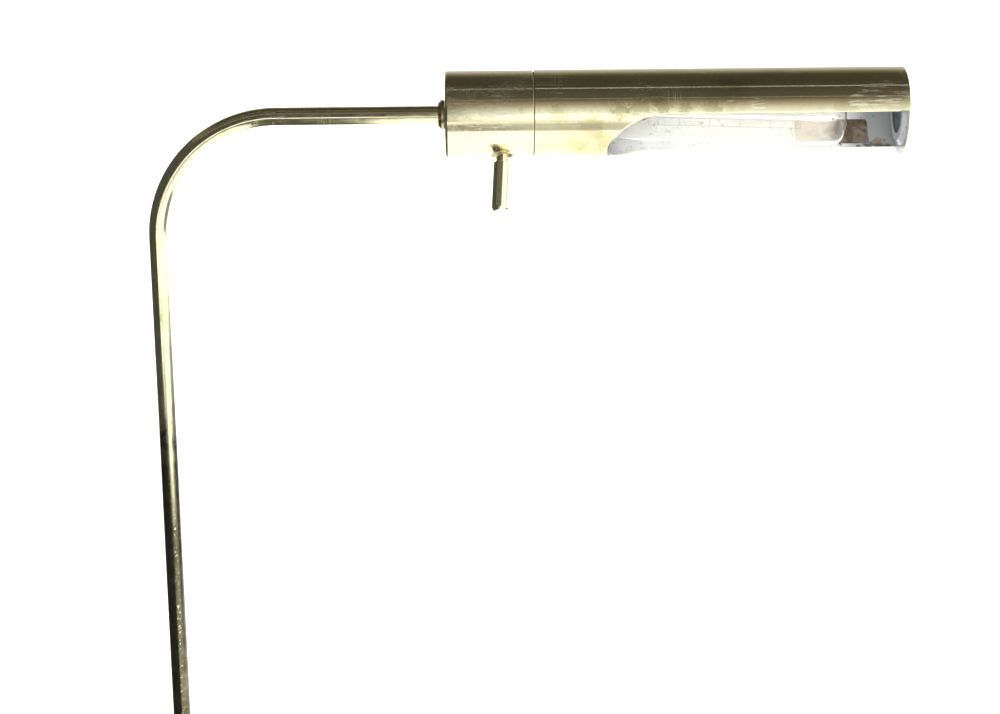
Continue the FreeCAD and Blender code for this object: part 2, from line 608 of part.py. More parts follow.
def build_switch():
    frame = head_frame().multiply(switch_place_on_head())
    bore = S.bushing_radius + S.seat_fit
    back = S.housing_radius - S.ferrule_back

    # countersunk ferrule, trimmed flush with the round housing
    blank = turned_body("ferrule_blank", [
        (bore, back), (S.ferrule_flange, back), (S.ferrule_flange, back + S.ferrule_lip),
        (S.ferrule_body, back + S.ferrule_lip), (S.ferrule_body, S.housing_radius),
        (S.ferrule_mouth, S.housing_radius), (bore, S.housing_radius - S.ferrule_floor)])
    NODES.pop("ferrule_blank")
    skin = doc.addObject("Part::Cylinder", "housing_skin")
    bind(skin, Radius=S.housing_radius, Height=S.housing_length)
    across = switch_place_on_head().inverse()
    skin.Placement = across.multiply(Placement(Vector(0, 0, 0), ALONG_X))
    keep("switch_ferrule", common("switch_ferrule", [blank, skin])).Placement = frame

    case = rod("switch_case", S.switch_radius, back - S.switch_deep, back)
    round_edges(case, [(S.switch_radius, back - S.switch_deep)], S.edge_break, 2)
    case.Placement = frame
    ring("switch_bushing", S.spindle_radius + S.running_fit, S.bushing_radius, back,
         S.housing_radius - S.bushing_end).Placement = frame
    spindle_end = S.housing_radius + S.spindle_end
    rod("switch_spindle", S.spindle_radius, back, spindle_end).Placement = frame

    hole = S.spindle_radius + S.seat_fit
    neck = S.housing_radius - S.knob_neck_start
    shoulder = S.housing_radius + S.knob_start
    tip = shoulder + S.knob_length
    knob = turned_body("switch_knob", [
        (hole, neck), (S.knob_neck, neck), (S.knob_neck, shoulder), (S.knob_radius, shoulder),
        (S.knob_radius, tip), (0, tip), (0, spindle_end), (hole, spindle_end)])
    round_edges(knob, [(S.knob_radius, tip)], S.knob_round, 2)
    round_edges(knob, [(S.knob_radius, shoulder)], S.edge_break, 2)
    knob.Placement = frame


# ---------------------------------------------------------------- lampholder

def build_lampholder():
    sheet_thick = S.bracket_sheet
    front = S.bracket_front
    half = S.bracket_width / 2
    plate = cylinder("bracket_plate", S.bracket_radius, sheet_thick, (front, 0, 0), (1, 0, 0))
    way = cylinder("bracket_way", S.bracket_hole, sheet_thick, (front, 0, 0), (1, 0, 0))
    pieces = [plate]
    for name, side in (("left", 1), ("right", -1)):
        edge = S.bracket_radius - S.bracket_inset
        low = edge if side > 0 else -edge - sheet_thick
        foot_low = edge - S.bracket_foot + sheet_thick if side > 0 else -edge - sheet_thick
        pieces.append(box("bracket_leg_" + name, front - S.end_plate + sheet_thick / 2, sheet_thick,
                          S.bracket_width, (S.end_plate, low, -half)))
        pieces.append(box("bracket_foot_" + name, sheet_thick, S.bracket_foot, S.bracket_width,
                          (S.end_plate, foot_low, -half)))
    keep("socket_bracket", seat_on_head(cut("socket_bracket", fuse("bracket_blank", pieces), way)))

    back = front + sheet_thick
    holder = turned_body("lampholder_body", [
        (back, S.contact_radius + S.running_fit), (back, S.socket_rear), (S.socket_step, S.socket_rear),
        (S.socket_step, S.socket_front), (S.socket_end, S.socket_front), (S.socket_end, S.socket_bore),
        (S.socket_floor, S.socket_bore), (S.socket_floor, S.contact_radius + S.running_fit)], about="X")
    NODES.pop("lampholder_body")
    round_edges(holder, [(S.socket_front, S.socket_end), (S.socket_rear, back)], S.holder_round, 0)
    screws = []
    ways = []
    for name, side in (("upper", 1), ("lower", -1)):
        place = S.socket_screw_place * side
        ways.append(cylinder("screw_way_" + name, S.socket_screw + S.thread_fit, S.socket_floor - back,
                             (back, 0, place), (1, 0, 0)))
        shank = cylinder("screw_shank_" + name, S.socket_screw, S.socket_floor - back - sheet_thick,
                         (back, 0, place), (1, 0, 0))
        head = cylinder("screw_head_" + name, S.socket_screw_head, S.screw_head_tall,
                        (front - S.screw_head_tall, 0, place), (1, 0, 0))
        neck = cylinder("screw_neck_" + name, S.socket_screw, sheet_thick, (front, 0, place), (1, 0, 0))
        screws.append(fuse("socket_screw_" + name, [head, neck, shank]))
    keep("socket_body", seat_on_head(cut("socket_body", holder, fuse("screw_ways", ways))))
    bracket = NODES["socket_bracket"]
    clear = [cylinder("bracket_screw_way_" + name, S.socket_screw + S.thread_fit, sheet_thick * CUTTER_REACH,
                      (front - sheet_thick, 0, S.socket_screw_place * side), (1, 0, 0))
             for name, side in (("upper", 1), ("lower", -1))]
    bracket.Tool = fuse("bracket_ways", [way] + clear)
    seat_on_head(group("socket_screws", screws))

    # threaded brass shell: straight wall with rolled rings at the thread's pitch
    outer = S.shell_radius
    inner = S.shell_radius - S.shell_wall
    corners = [(S.socket_floor, outer), (S.socket_end, outer), (S.socket_end, inner)]
    turns = int((float(S.socket_end) - float(S.socket_floor)) / float(S.thread_pitch)) - 1
    for number in range(turns):
        crest = S.socket_end - S.thread_pitch * (number + THREE_QUARTER_TURN)
        corners += [(crest, inner),
                    (crest - S.thread_pitch * QUARTER_TURN, inner - S.shell_thread),
                    (crest - S.thread_pitch * HALF_TURN, inner)]
    corners.append((S.socket_floor, inner))
    seat_on_head(turned_body("socket_shell", corners, about="X"))
    contact_face = S.lamp_eyelet - S.loose_fit
    seat_on_head(turned_body("centre_contact", [
        (back, 0), (contact_face, 0), (contact_face, S.contact_radius),
        (contact_face - S.contact_thick, S.contact_radius), (contact_face - S.contact_thick, S.contact_thick),
        (back, S.contact_thick)], about="X"))


# ---------------------------------------------------------------- tubular lamp

def lamp_frame():
    droop = Placement(Vector(float(S.arm_reach + S.lamp_pivot), 0, float(S.arm_height)),
                      Rotation(Vector(0, 1, 0), float(S.lamp_droop)))
    return droop.multiply(Placement(Vector(-float(S.lamp_pivot), 0, 0), Rotation()))


def build_lamp():
    frame = lamp_frame()
    start = S.cap_start
    corners = [(start, S.glass_neck - S.cap_groove), (start, S.cap_radius - S.cap_groove)]
    turns = int((float(S.cap_end) - float(start)) / float(S.thread_pitch)) - 1
    for number in range(turns):
        rise = start + S.thread_pitch * (number + HALF_TURN)
        corners += [(rise, S.cap_radius - S.cap_groove),
                    (rise + S.thread_pitch * QUARTER_TURN, S.cap_radius),
                    (rise + S.thread_pitch * HALF_TURN, S.cap_radius),
                    (rise + S.thread_pitch * THREE_QUARTER_TURN, S.cap_radius - S.cap_groove)]
    neck_fit = S.glass_neck + S.seat_fit
    corners += [(S.cap_end, S.cap_radius - S.cap_groove), (S.cap_end, neck_fit),
                (start + S.thread_pitch, neck_fit), (start + S.thread_pitch, S.glass_neck - S.cap_groove)]
    pieces = [turned_body("lamp_cap", corners, about="X")]

    eyelet_end = S.lamp_eyelet + S.eyelet_thick
    pieces.append(turned_body("lamp_eyelet", [
        (S.lamp_eyelet, 0), (S.lamp_eyelet + S.eyelet_thick / 2, S.eyelet_radius),
        (eyelet_end, S.eyelet_radius), (eyelet_end, 0)], about="X"))
    pieces.append(turned_body("lamp_insulator", [
        (eyelet_end, 0), (eyelet_end, S.eyelet_radius + S.eyelet_thick),
        (start, S.glass_neck - S.cap_groove), (start + S.eyelet_thick, S.glass_neck - S.cap_groove),
        (start + S.eyelet_thick, 0)], about="X"))

    # glass envelope: neck, shoulder, straight tube and a domed end, open at the neck
    glass = turned_body("lamp_glass", [
        (start + S.thread_pitch, S.glass_neck - S.glass_wall), (start + S.thread_pitch, S.glass_neck),
        (S.cap_end, S.glass_neck), (S.glass_shoulder, S.glass_radius), (S.lamp_tip, S.glass_radius),
        (S.lamp_tip, 0), (S.lamp_tip - S.glass_wall, 0),
        (S.lamp_tip - S.glass_wall, S.glass_radius - S.glass_wall),
        (S.glass_shoulder, S.glass_radius - S.glass_wall), (S.cap_end, S.glass_neck - S.glass_wall)],
        about="X")
    round_edges(glass, [(S.glass_radius, S.lamp_tip)], S.glass_corner, 0)
    round_edges(glass, [(S.glass_radius - S.glass_wall, S.lamp_tip - S.glass_wall)],
                S.glass_corner - S.glass_wall, 0)
    pieces.append(glass)

    flare_start = start + S.mount_start
    pieces.append(turned_body("lamp_mount", [
        (flare_start, 0), (flare_start, S.glass_neck - S.glass_wall - S.seat_fit),
        (flare_start + S.glass_wall, S.glass_neck - S.glass_wall - S.seat_fit),
        (S.cap_end, S.flare_radius), (S.flare_end, S.flare_radius),
        (S.flare_end + S.flare_radius, S.filament_radius),
        (S.filament_end + S.flare_radius, S.filament_radius),
        (S.filament_end + S.flare_radius, 0)], about="X"))

    # filament: a long wire each side of the mount, joined across its far end
    wires = [cylinder("filament_" + name, S.filament_radius, S.filament_end - S.flare_end,
                      (S.flare_end, 0, S.filament_offset * side), (1, 0, 0))
             for name, side in (("upper", 1), ("lower", -1))]
    bridge = cylinder("filament_bridge", S.filament_radius, S.filament_offset * 2,
                      (S.filament_end, 0, -S.filament_offset), (0, 0, 1))
    rod_way = cylinder("filament_way", S.filament_radius + S.thread_fit, S.filament_end,
                       (S.flare_end, 0, 0), (1, 0, 0))
    keep("lamp_filament", cut("lamp_filament", fuse("filament_blank", wires + [bridge]), rod_way))
    pieces.append(NODES["lamp_filament"])
    for piece in pieces:
        piece.Placement = frame


build_base()
build_post()
build_arm()
build_housing()
build_shade()
build_switch()
build_lampholder()
build_lamp()
doc.recompute()

for item in doc.Objects:
    if "Invalid" in item.State or "Error" in item.State:
        raise RuntimeError("failed object: %s %s" % (item.Label, item.State))
for label, item in NODES.items():
    if item.Shape.isNull() or not item.Shape.isValid() or not item.Shape.Solids:
        raise RuntimeError("bad shape: " + label)

os.makedirs("parts", exist_ok=True)
for label, item in NODES.items():
    item.Shape.exportStep("parts/%s.step" % label)
print(len(NODES), "parts written")
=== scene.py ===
# %% [markdown]
# # A brass reading lamp with a cut-open cylinder shade
# This lesson finishes a lamp whose mechanical parts already exist. The frame below brings them in at
# their real size and place, in metres. Each step says what a piece or a finish is on the real lamp, how
# it could be made in Blender, and why this way was chosen.

# %% Load the mechanical frame
import json
import math
import bmesh
import bpy
from mathutils import Matrix, Vector


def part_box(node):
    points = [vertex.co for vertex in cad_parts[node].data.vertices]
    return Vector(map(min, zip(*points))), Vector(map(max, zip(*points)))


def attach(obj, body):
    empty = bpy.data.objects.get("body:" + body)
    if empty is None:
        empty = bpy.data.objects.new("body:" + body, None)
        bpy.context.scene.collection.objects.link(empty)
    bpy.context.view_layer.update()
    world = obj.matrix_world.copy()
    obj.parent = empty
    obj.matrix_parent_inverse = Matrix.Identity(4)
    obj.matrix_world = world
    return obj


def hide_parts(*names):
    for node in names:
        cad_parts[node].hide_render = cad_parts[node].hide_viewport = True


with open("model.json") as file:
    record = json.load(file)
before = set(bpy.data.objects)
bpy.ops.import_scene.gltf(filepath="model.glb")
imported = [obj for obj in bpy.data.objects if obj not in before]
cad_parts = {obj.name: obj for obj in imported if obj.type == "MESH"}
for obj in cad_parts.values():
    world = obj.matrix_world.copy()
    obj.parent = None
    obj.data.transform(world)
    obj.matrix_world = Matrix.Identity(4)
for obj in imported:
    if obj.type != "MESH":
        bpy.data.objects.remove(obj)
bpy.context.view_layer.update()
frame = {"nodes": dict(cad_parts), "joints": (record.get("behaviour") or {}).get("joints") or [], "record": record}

MM = 0.001

# %% [markdown]
# ## Places and sizes from the frame
# Every new piece stands for one that the frame holds, so its place is measured there. The head is a set
# of turned pieces about the arm's axis. It is easiest to draw it lying along X with its opening facing
# down, and to roll it into place at the end, so ON_HEAD keeps that roll.

# %% Measures taken from the frame
X, Y, Z = 0, 1, 2


def span(node, axis):
    low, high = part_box(node)
    return low[axis], high[axis]


joint = {item["name"]: item for item in frame["joints"]}
BACK = joint["head_roll"]["pos_m"][X]
ARM_Z = joint["head_roll"]["pos_m"][Z]
SHADE_R = (span("end_disc", Y)[1] - span("end_disc", Y)[0]) / 2
BORE_R = SHADE_R - 1 * MM
HOUSING_R = BORE_R + 0.8 * MM
HEAD_END = span("end_disc", X)[1] - BACK
SEAM_LEFT = span("rear_housing", X)[1] - BACK
SEAM_RIGHT = span("shade_tube", X)[0] - BACK
SHADE_END = span("shade_tube", X)[1] - BACK
TUBE_R = (span("stem_arm", Y)[1] - span("stem_arm", Y)[0]) / 2
HEAD_ROLL = math.radians(-37.5)
ON_HEAD = Matrix.Translation((BACK, 0, ARM_Z)) @ Matrix.Rotation(HEAD_ROLL, 4, "X")
ON_ARM = Matrix.Translation((0, 0, ARM_Z))
AT_BASE = Matrix.Identity(4)
print("head", round(HEAD_END / MM, 1), "mm long, radius", round(SHADE_R / MM, 2), "mm")

# %% [markdown]
# ## Helpers for node materials
# A finish is a small tree of texture nodes that ends in one Principled shader. The helper below adds a
# node, sets its inputs and links the ones that are given as sockets, so each finish further down reads
# like a recipe.

# %% The node helpers


def new_finish(name):
    material = bpy.data.materials.new(name)
    material.use_nodes = True
    tree = material.node_tree
    tree.nodes.clear()
    shader = tree.nodes.new("ShaderNodeBsdfPrincipled")
    output = tree.nodes.new("ShaderNodeOutputMaterial")
    tree.links.new(shader.outputs[0], output.inputs["Surface"])
    return material, tree, shader


def put(tree, socket, value):
    if isinstance(value, bpy.types.NodeSocket):
        tree.links.new(value, socket)
    else:
        socket.default_value = value


def add(tree, kind, inputs=(), **settings):
    node = tree.nodes.new(kind)
    for key, value in settings.items():
        setattr(node, key, value)
    for key, value in dict(inputs).items():
        put(tree, node.inputs[key], value)
    return node


def surface_place(tree, turn=(0, 0, 0), stretch=(1, 1, 1)):
    """Object coordinates, turned and stretched for one pattern."""
    place = tree.nodes.new("ShaderNodeTexCoord").outputs["Object"]
    return add(tree, "ShaderNodeMapping", {0: place, 2: turn, 3: stretch}).outputs[0]


def cloud(tree, place, scale, detail=3.0, rough=0.55, twist=0.0):
    return add(tree, "ShaderNodeTexNoise", {"Vector": place, "Scale": scale, "Detail": detail,
                                            "Roughness": rough, "Distortion": twist}).outputs["Fac"]


def levels(tree, value, low, high, out_low=0.0, out_high=1.0):
    return add(tree, "ShaderNodeMapRange", {"Value": value, "From Min": low, "From Max": high,
                                            "To Min": out_low, "To Max": out_high}).outputs[0]


def calc(tree, what, first, second=0.5):
    return add(tree, "ShaderNodeMath", {0: first, 1: second}, operation=what).outputs[0]


def product(tree, first, second):
    return calc(tree, "MULTIPLY", first, second)


def total(tree, first, second):
    return calc(tree, "ADD", first, second)


def largest(tree, first, second):
    return calc(tree, "MAXIMUM", first, second)


def tint(tree, amount, first, second):
    node = add(tree, "ShaderNodeMix", {0: amount}, data_type="RGBA")
    for socket, value in ((node.inputs[6], first), (node.inputs[7], second)):
        put(tree, socket, (*value, 1) if isinstance(value, tuple) else value)
    return node.outputs[2]


def relief(tree, height, strength, depth):
    return add(tree, "ShaderNodeBump", {"Height": height, "Strength": strength, "Distance": depth}).outputs[0]


def scratch_lines(tree, stretch, turn, width, gate):
    """Fine curved lines: the contour of a stretched noise, kept only where a second noise is high."""
    place = surface_place(tree, turn=turn, stretch=stretch)
    away = calc(tree, "ABSOLUTE", calc(tree, "SUBTRACT", cloud(tree, place, 1.0, 1.5), 0.5))
    line = levels(tree, away, 0.0, width, 1.0, 0.0)
    where = levels(tree, cloud(tree, surface_place(tree), gate, 2.0), 0.55, 0.68)
    return product(tree, line, where)


# %% [markdown]
# ## Brass
# The real brass was polished once and then handled for years. The metal itself is a pale greenish gold. A
# thin olive tarnish lies on it in clouds. Polishing left swirls and fine scratches, which catch the light
# as thin bright lines. Some places are worn dull or scuffed. Low on the stem the colour is made darker
# towards the bottom, except in a stripe down its front-right side and in specks. The sheet is never
# perfectly flat, so reflections wander a little. One function makes all of them from small layers, and
# each piece gets its own amounts.

# %% The brass finish
GOLD = (0.795, 0.738, 0.475)
OLIVE = (0.37, 0.32, 0.14)
BROWN = (0.17, 0.13, 0.075)
LOW_STEM_DARK = (0.085, 0.075, 0.045)
BARE = (0.95, 0.92, 0.76)
SWIRLED = (0.95, 0.92, 0.74)
STRIPE_SIDE = (0.34, -0.94, 0)


def near(tree, place, spot, reach, ragged):
    """1 at the spot, falling to 0 at the given reach, with a ragged edge."""
    gap = add(tree, "ShaderNodeVectorMath", {0: place, 1: tuple(spot)}, operation="DISTANCE")
    away = gap.outputs["Value"]
    uneven = total(tree, away, levels(tree, ragged, 0.3, 0.7, -reach * 0.5, reach * 0.5))
    return levels(tree, uneven, reach, reach * 0.55)


def drum_point(along, radius, angle):
    """A point on the head before it is rolled: the angle starts at the opening and grows towards +Y."""
    return Vector((along, radius * math.sin(angle), -radius * math.cos(angle)))


def head_spot(along_mm, angle_deg, radius=BORE_R):
    return ON_HEAD @ drum_point(along_mm * MM, radius, math.radians(angle_deg))


def low_stem_darkening(tree, place, broad, mottle, below):
    """Darker under a height, except in a stripe that breaks up into specks further down."""
    height = add(tree, "ShaderNodeSeparateXYZ", {0: place}).outputs[2]
    ragged = total(tree, height, levels(tree, broad, 0.3, 0.7, -20 * MM, 20 * MM))
    facing = add(tree, "ShaderNodeVectorMath", {0: place, 1: STRIPE_SIDE}, operation="DOT_PRODUCT")
    side = facing.outputs["Value"]
    side = total(tree, side, product(tree, mottle, 0.12 * MM))
    stripe = levels(tree, side, TUBE_R * 0.965, TUBE_R * 1.005)
    specks = levels(tree, cloud(tree, place, 760.0, 2.0), 0.60, 0.66, 0.0, 0.9)
    bright = largest(tree, levels(tree, ragged, below - 85 * MM, below - 30 * MM), specks)
    outside_stripe = calc(tree, "SUBTRACT", 1.0, product(tree, stripe, bright))
    # The colour is made darker towards the bottom of the stem, except in the stripe and the specks.
    low_dark = product(tree, levels(tree, ragged, below, below - 35 * MM), outside_stripe)
    return product(tree, low_dark, levels(tree, cloud(tree, place, 170.0, 4.0, 0.7), 0.3, 0.62, 0.84, 0.98))


def scratch_layer(tree, scratch):
    """Fine bright lines along, across and slantwise."""
    along = scratch_lines(tree, (9, 330, 330), (0, 0, 0.06), 0.012, 24.0)
    slant = scratch_lines(tree, (60, 420, 420), (0.5, 0.3, 0.7), 0.010, 31.0)
    rings = scratch_lines(tree, (700, 25, 25), (0, 0, 0.02), 0.014, 19.0)
    return product(tree, largest(tree, largest(tree, along, slant), rings), scratch)


def scuff_layer(tree, marks, scuffs, tilt, broad):
    """Short slanting strokes where the shade was knocked."""
    place = surface_place(tree, turn=(tilt, 0.35, 0.3), stretch=(60, 700, 700))
    strokes = levels(tree, cloud(tree, place, 1.0, 2.0), 0.50, 0.60)
    for spot, reach in scuffs:
        rub = near(tree, surface_place(tree), spot, reach, broad)
        marks = largest(tree, marks, product(tree, rub, strokes))
    return marks


def brass(name, tarnish=0.45, patch=28.0, rough=0.13, wave=0.3, scratch=1.0, turn=(0, 0, 0), gold=GOLD,
          darker_below=None, worn_spots=(), scuffs=(), polish=0.12):
    """Brass in layers: tarnish, darkening low on the stem, scratches, worn spots, scuffs, polishing swirls and
    pits.
    """
    material, tree, shader = new_finish(name)
    place = surface_place(tree, turn=turn)
    broad = cloud(tree, place, patch, 5.0, 0.6, 0.4)
    mottle = cloud(tree, place, 260.0, 4.0, 0.6)
    grime = levels(tree, broad, 0.52, 0.74, 0.0, tarnish)
    grime = total(tree, grime, levels(tree, mottle, 0.45, 0.8, 0.0, tarnish * 0.4))
    grime = calc(tree, "MINIMUM", grime, 0.93)
    metal = tint(tree, grime, gold, OLIVE)
    metal = tint(tree, levels(tree, grime, 0.55, 0.95, 0.0, 0.8), metal, BROWN)
    if darker_below is not None:
        low_dark = low_stem_darkening(tree, place, broad, mottle, darker_below)
        # Low on the stem the colour is darkened towards the bottom.
        metal = tint(tree, low_dark, metal, LOW_STEM_DARK)
        grime = largest(tree, grime, product(tree, low_dark, 0.5))
    marks = scratch_layer(tree, scratch)
    if worn_spots:
        ragged = cloud(tree, place, 330.0, 4.0, 0.7, 1.2)
        for spot, reach, depth in worn_spots:
            blotch = product(tree, near(tree, surface_place(tree), spot, reach, ragged), depth)
            grime = largest(tree, grime, blotch)
            metal = tint(tree, product(tree, blotch, 0.85), metal, OLIVE)
    if scuffs:
        marks = scuff_layer(tree, marks, scuffs, turn[0], broad)
    metal = tint(tree, levels(tree, marks, 0.0, 1.0, 0.0, 0.6), metal, BARE)
    swirl = scratch_lines(tree, (160, 330, 330), (0.9, 0.4, 0.2), 0.05, 26.0)
    metal = tint(tree, product(tree, swirl, polish), metal, SWIRLED)
    pits = levels(tree, cloud(tree, place, 900.0, 2.0), 0.70, 0.76)
    metal = tint(tree, product(tree, pits, 0.6), metal, BROWN)
    put(tree, shader.inputs["Base Color"], metal)
    shader.inputs["Metallic"].default_value = 1.0
    dull = total(tree, product(tree, grime, 0.16), product(tree, swirl, polish * 0.3))
    sheen = total(tree, levels(tree, mottle, 0.3, 0.7, rough * 0.7, rough * 1.3), dull)
    put(tree, shader.inputs["Roughness"], total(tree, sheen, product(tree, marks, 0.22)))
    fine = product(tree, cloud(tree, place, 1400.0, 2.0), 0.035)
    soft = product(tree, cloud(tree, place, 45.0, 1.0), wave)
    height = calc(tree, "SUBTRACT", total(tree, fine, soft), product(tree, marks, 0.06))
    put(tree, shader.inputs["Normal"], relief(tree, height, 0.5, 0.4 * MM))
    shader.inputs["Coat Weight"].default_value = 0.04
    shader.inputs["Coat Roughness"].default_value = 0.15
    return material


HEAD_TURN = (-HEAD_ROLL, 0, 0)
# Worn places on the shade: how far along the head in mm, angle from the opening, size in mm, how dark.
WORN = [(98, -62, 6, 0.7), (109, -66, 7, 0.6), (122, -68, 6, 0.7), (135, -64, 5, 0.6), (150, -66, 6, 0.5),
        (118, -78, 5, 0.6), (83, -40, 9, 0.5), (91, -20, 8, 0.5), (75, -14, 7, 0.4), (64, -60, 6, 0.35),
        (226, -66, 8, 0.4), (160, -92, 10, 0.35), (240, -75, 5, 0.4)]
# Scuffed places: how far along the head in mm, angle from the opening, size in mm.
SCUFFED = [(255, -78, 9), (243, -84, 9), (233, -72, 6), (160, -72, 6), (176, -68, 5)]
scuffs = [(head_spot(along, angle, SHADE_R), size * MM) for along, angle, size in SCUFFED]
worn_spots = [(head_spot(along, angle, SHADE_R), size * MM, depth) for along, angle, size, depth in WORN]
shade_metal = brass("shade brass", tarnish=0.42, patch=26.0, rough=0.065, wave=0.2, scratch=1.4,
                    turn=HEAD_TURN, worn_spots=worn_spots, scuffs=scuffs)
housing_metal = brass("housing brass", tarnish=0.32, patch=44.0, rough=0.13, wave=0.3, scratch=1.2,
                      turn=HEAD_TURN, polish=0.4)
stem_metal = brass("stem brass", tarnish=0.45, patch=60.0, rough=0.12, wave=0.12, scratch=0.9,
                   darker_below=435 * MM)
knob_metal = brass("knob brass", tarnish=0.12, patch=90.0, rough=0.16, wave=0.05, scratch=0.5)
dimple_metal = brass("dimple brass", tarnish=0.1, patch=90.0, rough=0.55, wave=0.03, scratch=0.2)
dark_metal = brass("dark collar brass", tarnish=1.5, patch=120.0, rough=0.2, wave=0.1,
                   gold=(0.5, 0.44, 0.25))
# The sleeve shows only in the thin gap between housing and shade; this near-black brass is painted shade.
seam_shade_metal = brass("painted shade seam brass", tarnish=2.0, patch=200.0, rough=0.5, gold=(0.16, 0.13, 0.08))
base_metal = brass("base brass", tarnish=0.8, patch=22.0, rough=0.14, wave=0.2, scratch=1.4, polish=0.2)
inside_metal = brass("inside brass", tarnish=0.9, patch=70.0, rough=0.24, wave=0.1)
print("brass finishes:", [m.name for m in bpy.data.materials if m.name.endswith("brass")])

# %% [markdown]
# ## Finishes that are not brass
# The shade is enamelled white inside. Towards the open end the enamel is painted grey as shade, dust and
# chips speckle it, and it has flaked off in small dark patches along the cut. The others are what such a
# lamp is made of: porcelain, plated steel, spring steel, cast iron, felt, rubber, nylon, fibre, phenolic,
# paper and glass.
# Each one gets its own grain, because even a plain part has a direction, a size of speck and a wear of
# its own.

# %% A general recipe for the plain materials


def plain(name, light, dark, scale, rough, metallic=0.0, bump=0.3, depth=0.1, stretch=(1, 1, 1), speck=None,
          **settings):
    material, tree, shader = new_finish(name)
    place = surface_place(tree, stretch=stretch)
    grain = cloud(tree, place, scale, 4.0, 0.6)
    broad = cloud(tree, surface_place(tree), scale * 0.12, 3.0)
    colour = tint(tree, levels(tree, grain, 0.35, 0.68), light, dark)
    colour = tint(tree, levels(tree, broad, 0.5, 0.8, 0.0, 0.5), colour, dark)
    if speck:
        dots = levels(tree, cloud(tree, place, scale * 3.1, 1.0), 0.68, 0.72)
        colour = tint(tree, dots, colour, speck)
    put(tree, shader.inputs["Base Color"], colour)
    put(tree, shader.inputs["Roughness"], levels(tree, grain, 0.3, 0.7, rough * 0.8, min(1, rough * 1.2)))
    shader.inputs["Metallic"].default_value = metallic
    put(tree, shader.inputs["Normal"], relief(tree, grain, bump, depth * MM))
    for key, value in settings.items():
        shader.inputs[key.replace("_", " ")].default_value = value
    return material


steel = plain("zinc steel", (0.62, 0.63, 0.64), (0.42, 0.43, 0.45), 300, 0.32, 1.0, speck=(0.25, 0.22, 0.2))
spring = plain("spring steel", (0.45, 0.46, 0.48), (0.28, 0.28, 0.3), 500, 0.28, 1.0, stretch=(1, 1, 6))
iron = plain("cast iron", (0.12, 0.115, 0.11), (0.05, 0.045, 0.04), 220, 0.7, 0.6, 0.6, 0.6,
             speck=(0.2, 0.09, 0.04))
felt = plain("felt", (0.035, 0.055, 0.035), (0.015, 0.025, 0.017), 900, 0.95, bump=0.9, depth=0.8,
             speck=(0.12, 0.13, 0.1), Sheen_Weight=0.6)
rubber = plain("black rubber", (0.03, 0.03, 0.032), (0.015, 0.015, 0.016), 500, 0.6,
               speck=(0.09, 0.085, 0.08))
nylon = plain("nylon", (0.72, 0.69, 0.6), (0.58, 0.55, 0.46), 200, 0.45, Subsurface_Weight=0.1)
fibre = plain("fibre", (0.16, 0.1, 0.07), (0.07, 0.045, 0.03), 600, 0.75, bump=0.5, stretch=(8, 1, 1))
phenolic = plain("phenolic", (0.06, 0.03, 0.02), (0.03, 0.015, 0.01), 350, 0.3, speck=(0.12, 0.07, 0.04))
porcelain = plain("porcelain", (0.82, 0.81, 0.77), (0.68, 0.66, 0.6), 60, 0.16, bump=0.15, depth=0.2,
                  speck=(0.4, 0.36, 0.3), Coat_Weight=0.4)
cap_metal = plain("lamp cap metal", (0.72, 0.72, 0.7), (0.5, 0.49, 0.46), 400, 0.3, 1.0,
                  speck=(0.3, 0.28, 0.25))
solder = plain("solder", (0.55, 0.55, 0.56), (0.36, 0.36, 0.37), 700, 0.35, 1.0, bump=0.6, depth=0.2)
black_glass = plain("black glass", (0.012, 0.012, 0.014), (0.03, 0.028, 0.03), 180, 0.12)
wire = plain("filament wire", (0.30, 0.29, 0.28), (0.16, 0.15, 0.14), 1500, 0.35, 1.0)
plug_dark = plain("dark plug", (0.085, 0.10, 0.12), (0.04, 0.048, 0.058), 160, 0.42, 0.3,
                  speck=(0.2, 0.2, 0.2))
print(len(bpy.data.materials), "finishes so far")

# %% [markdown]
# ## The enamel
# The specks and flakes are bigger and darker near the cut and near the end disc. A distance from a few
# named places on the shade, broken up with noise, decides where the enamel is stained or gone, which is
# how damage starts on the real one: at edges, and where the lamp's heat collects. The grey towards the end
# disc is painted shade.

# %% The enamel finish
# Chips along the cut: mm from the housing's back, degrees round the shade, size in mm.
CHIPPED = [(94, 4, 4.5), (101, 30, 2.4), (246, 62, 3.6), (252, 61, 3.6), (257, 60, 3.2), (240, 60, 1.8),
           (97, -22, 2.0)]


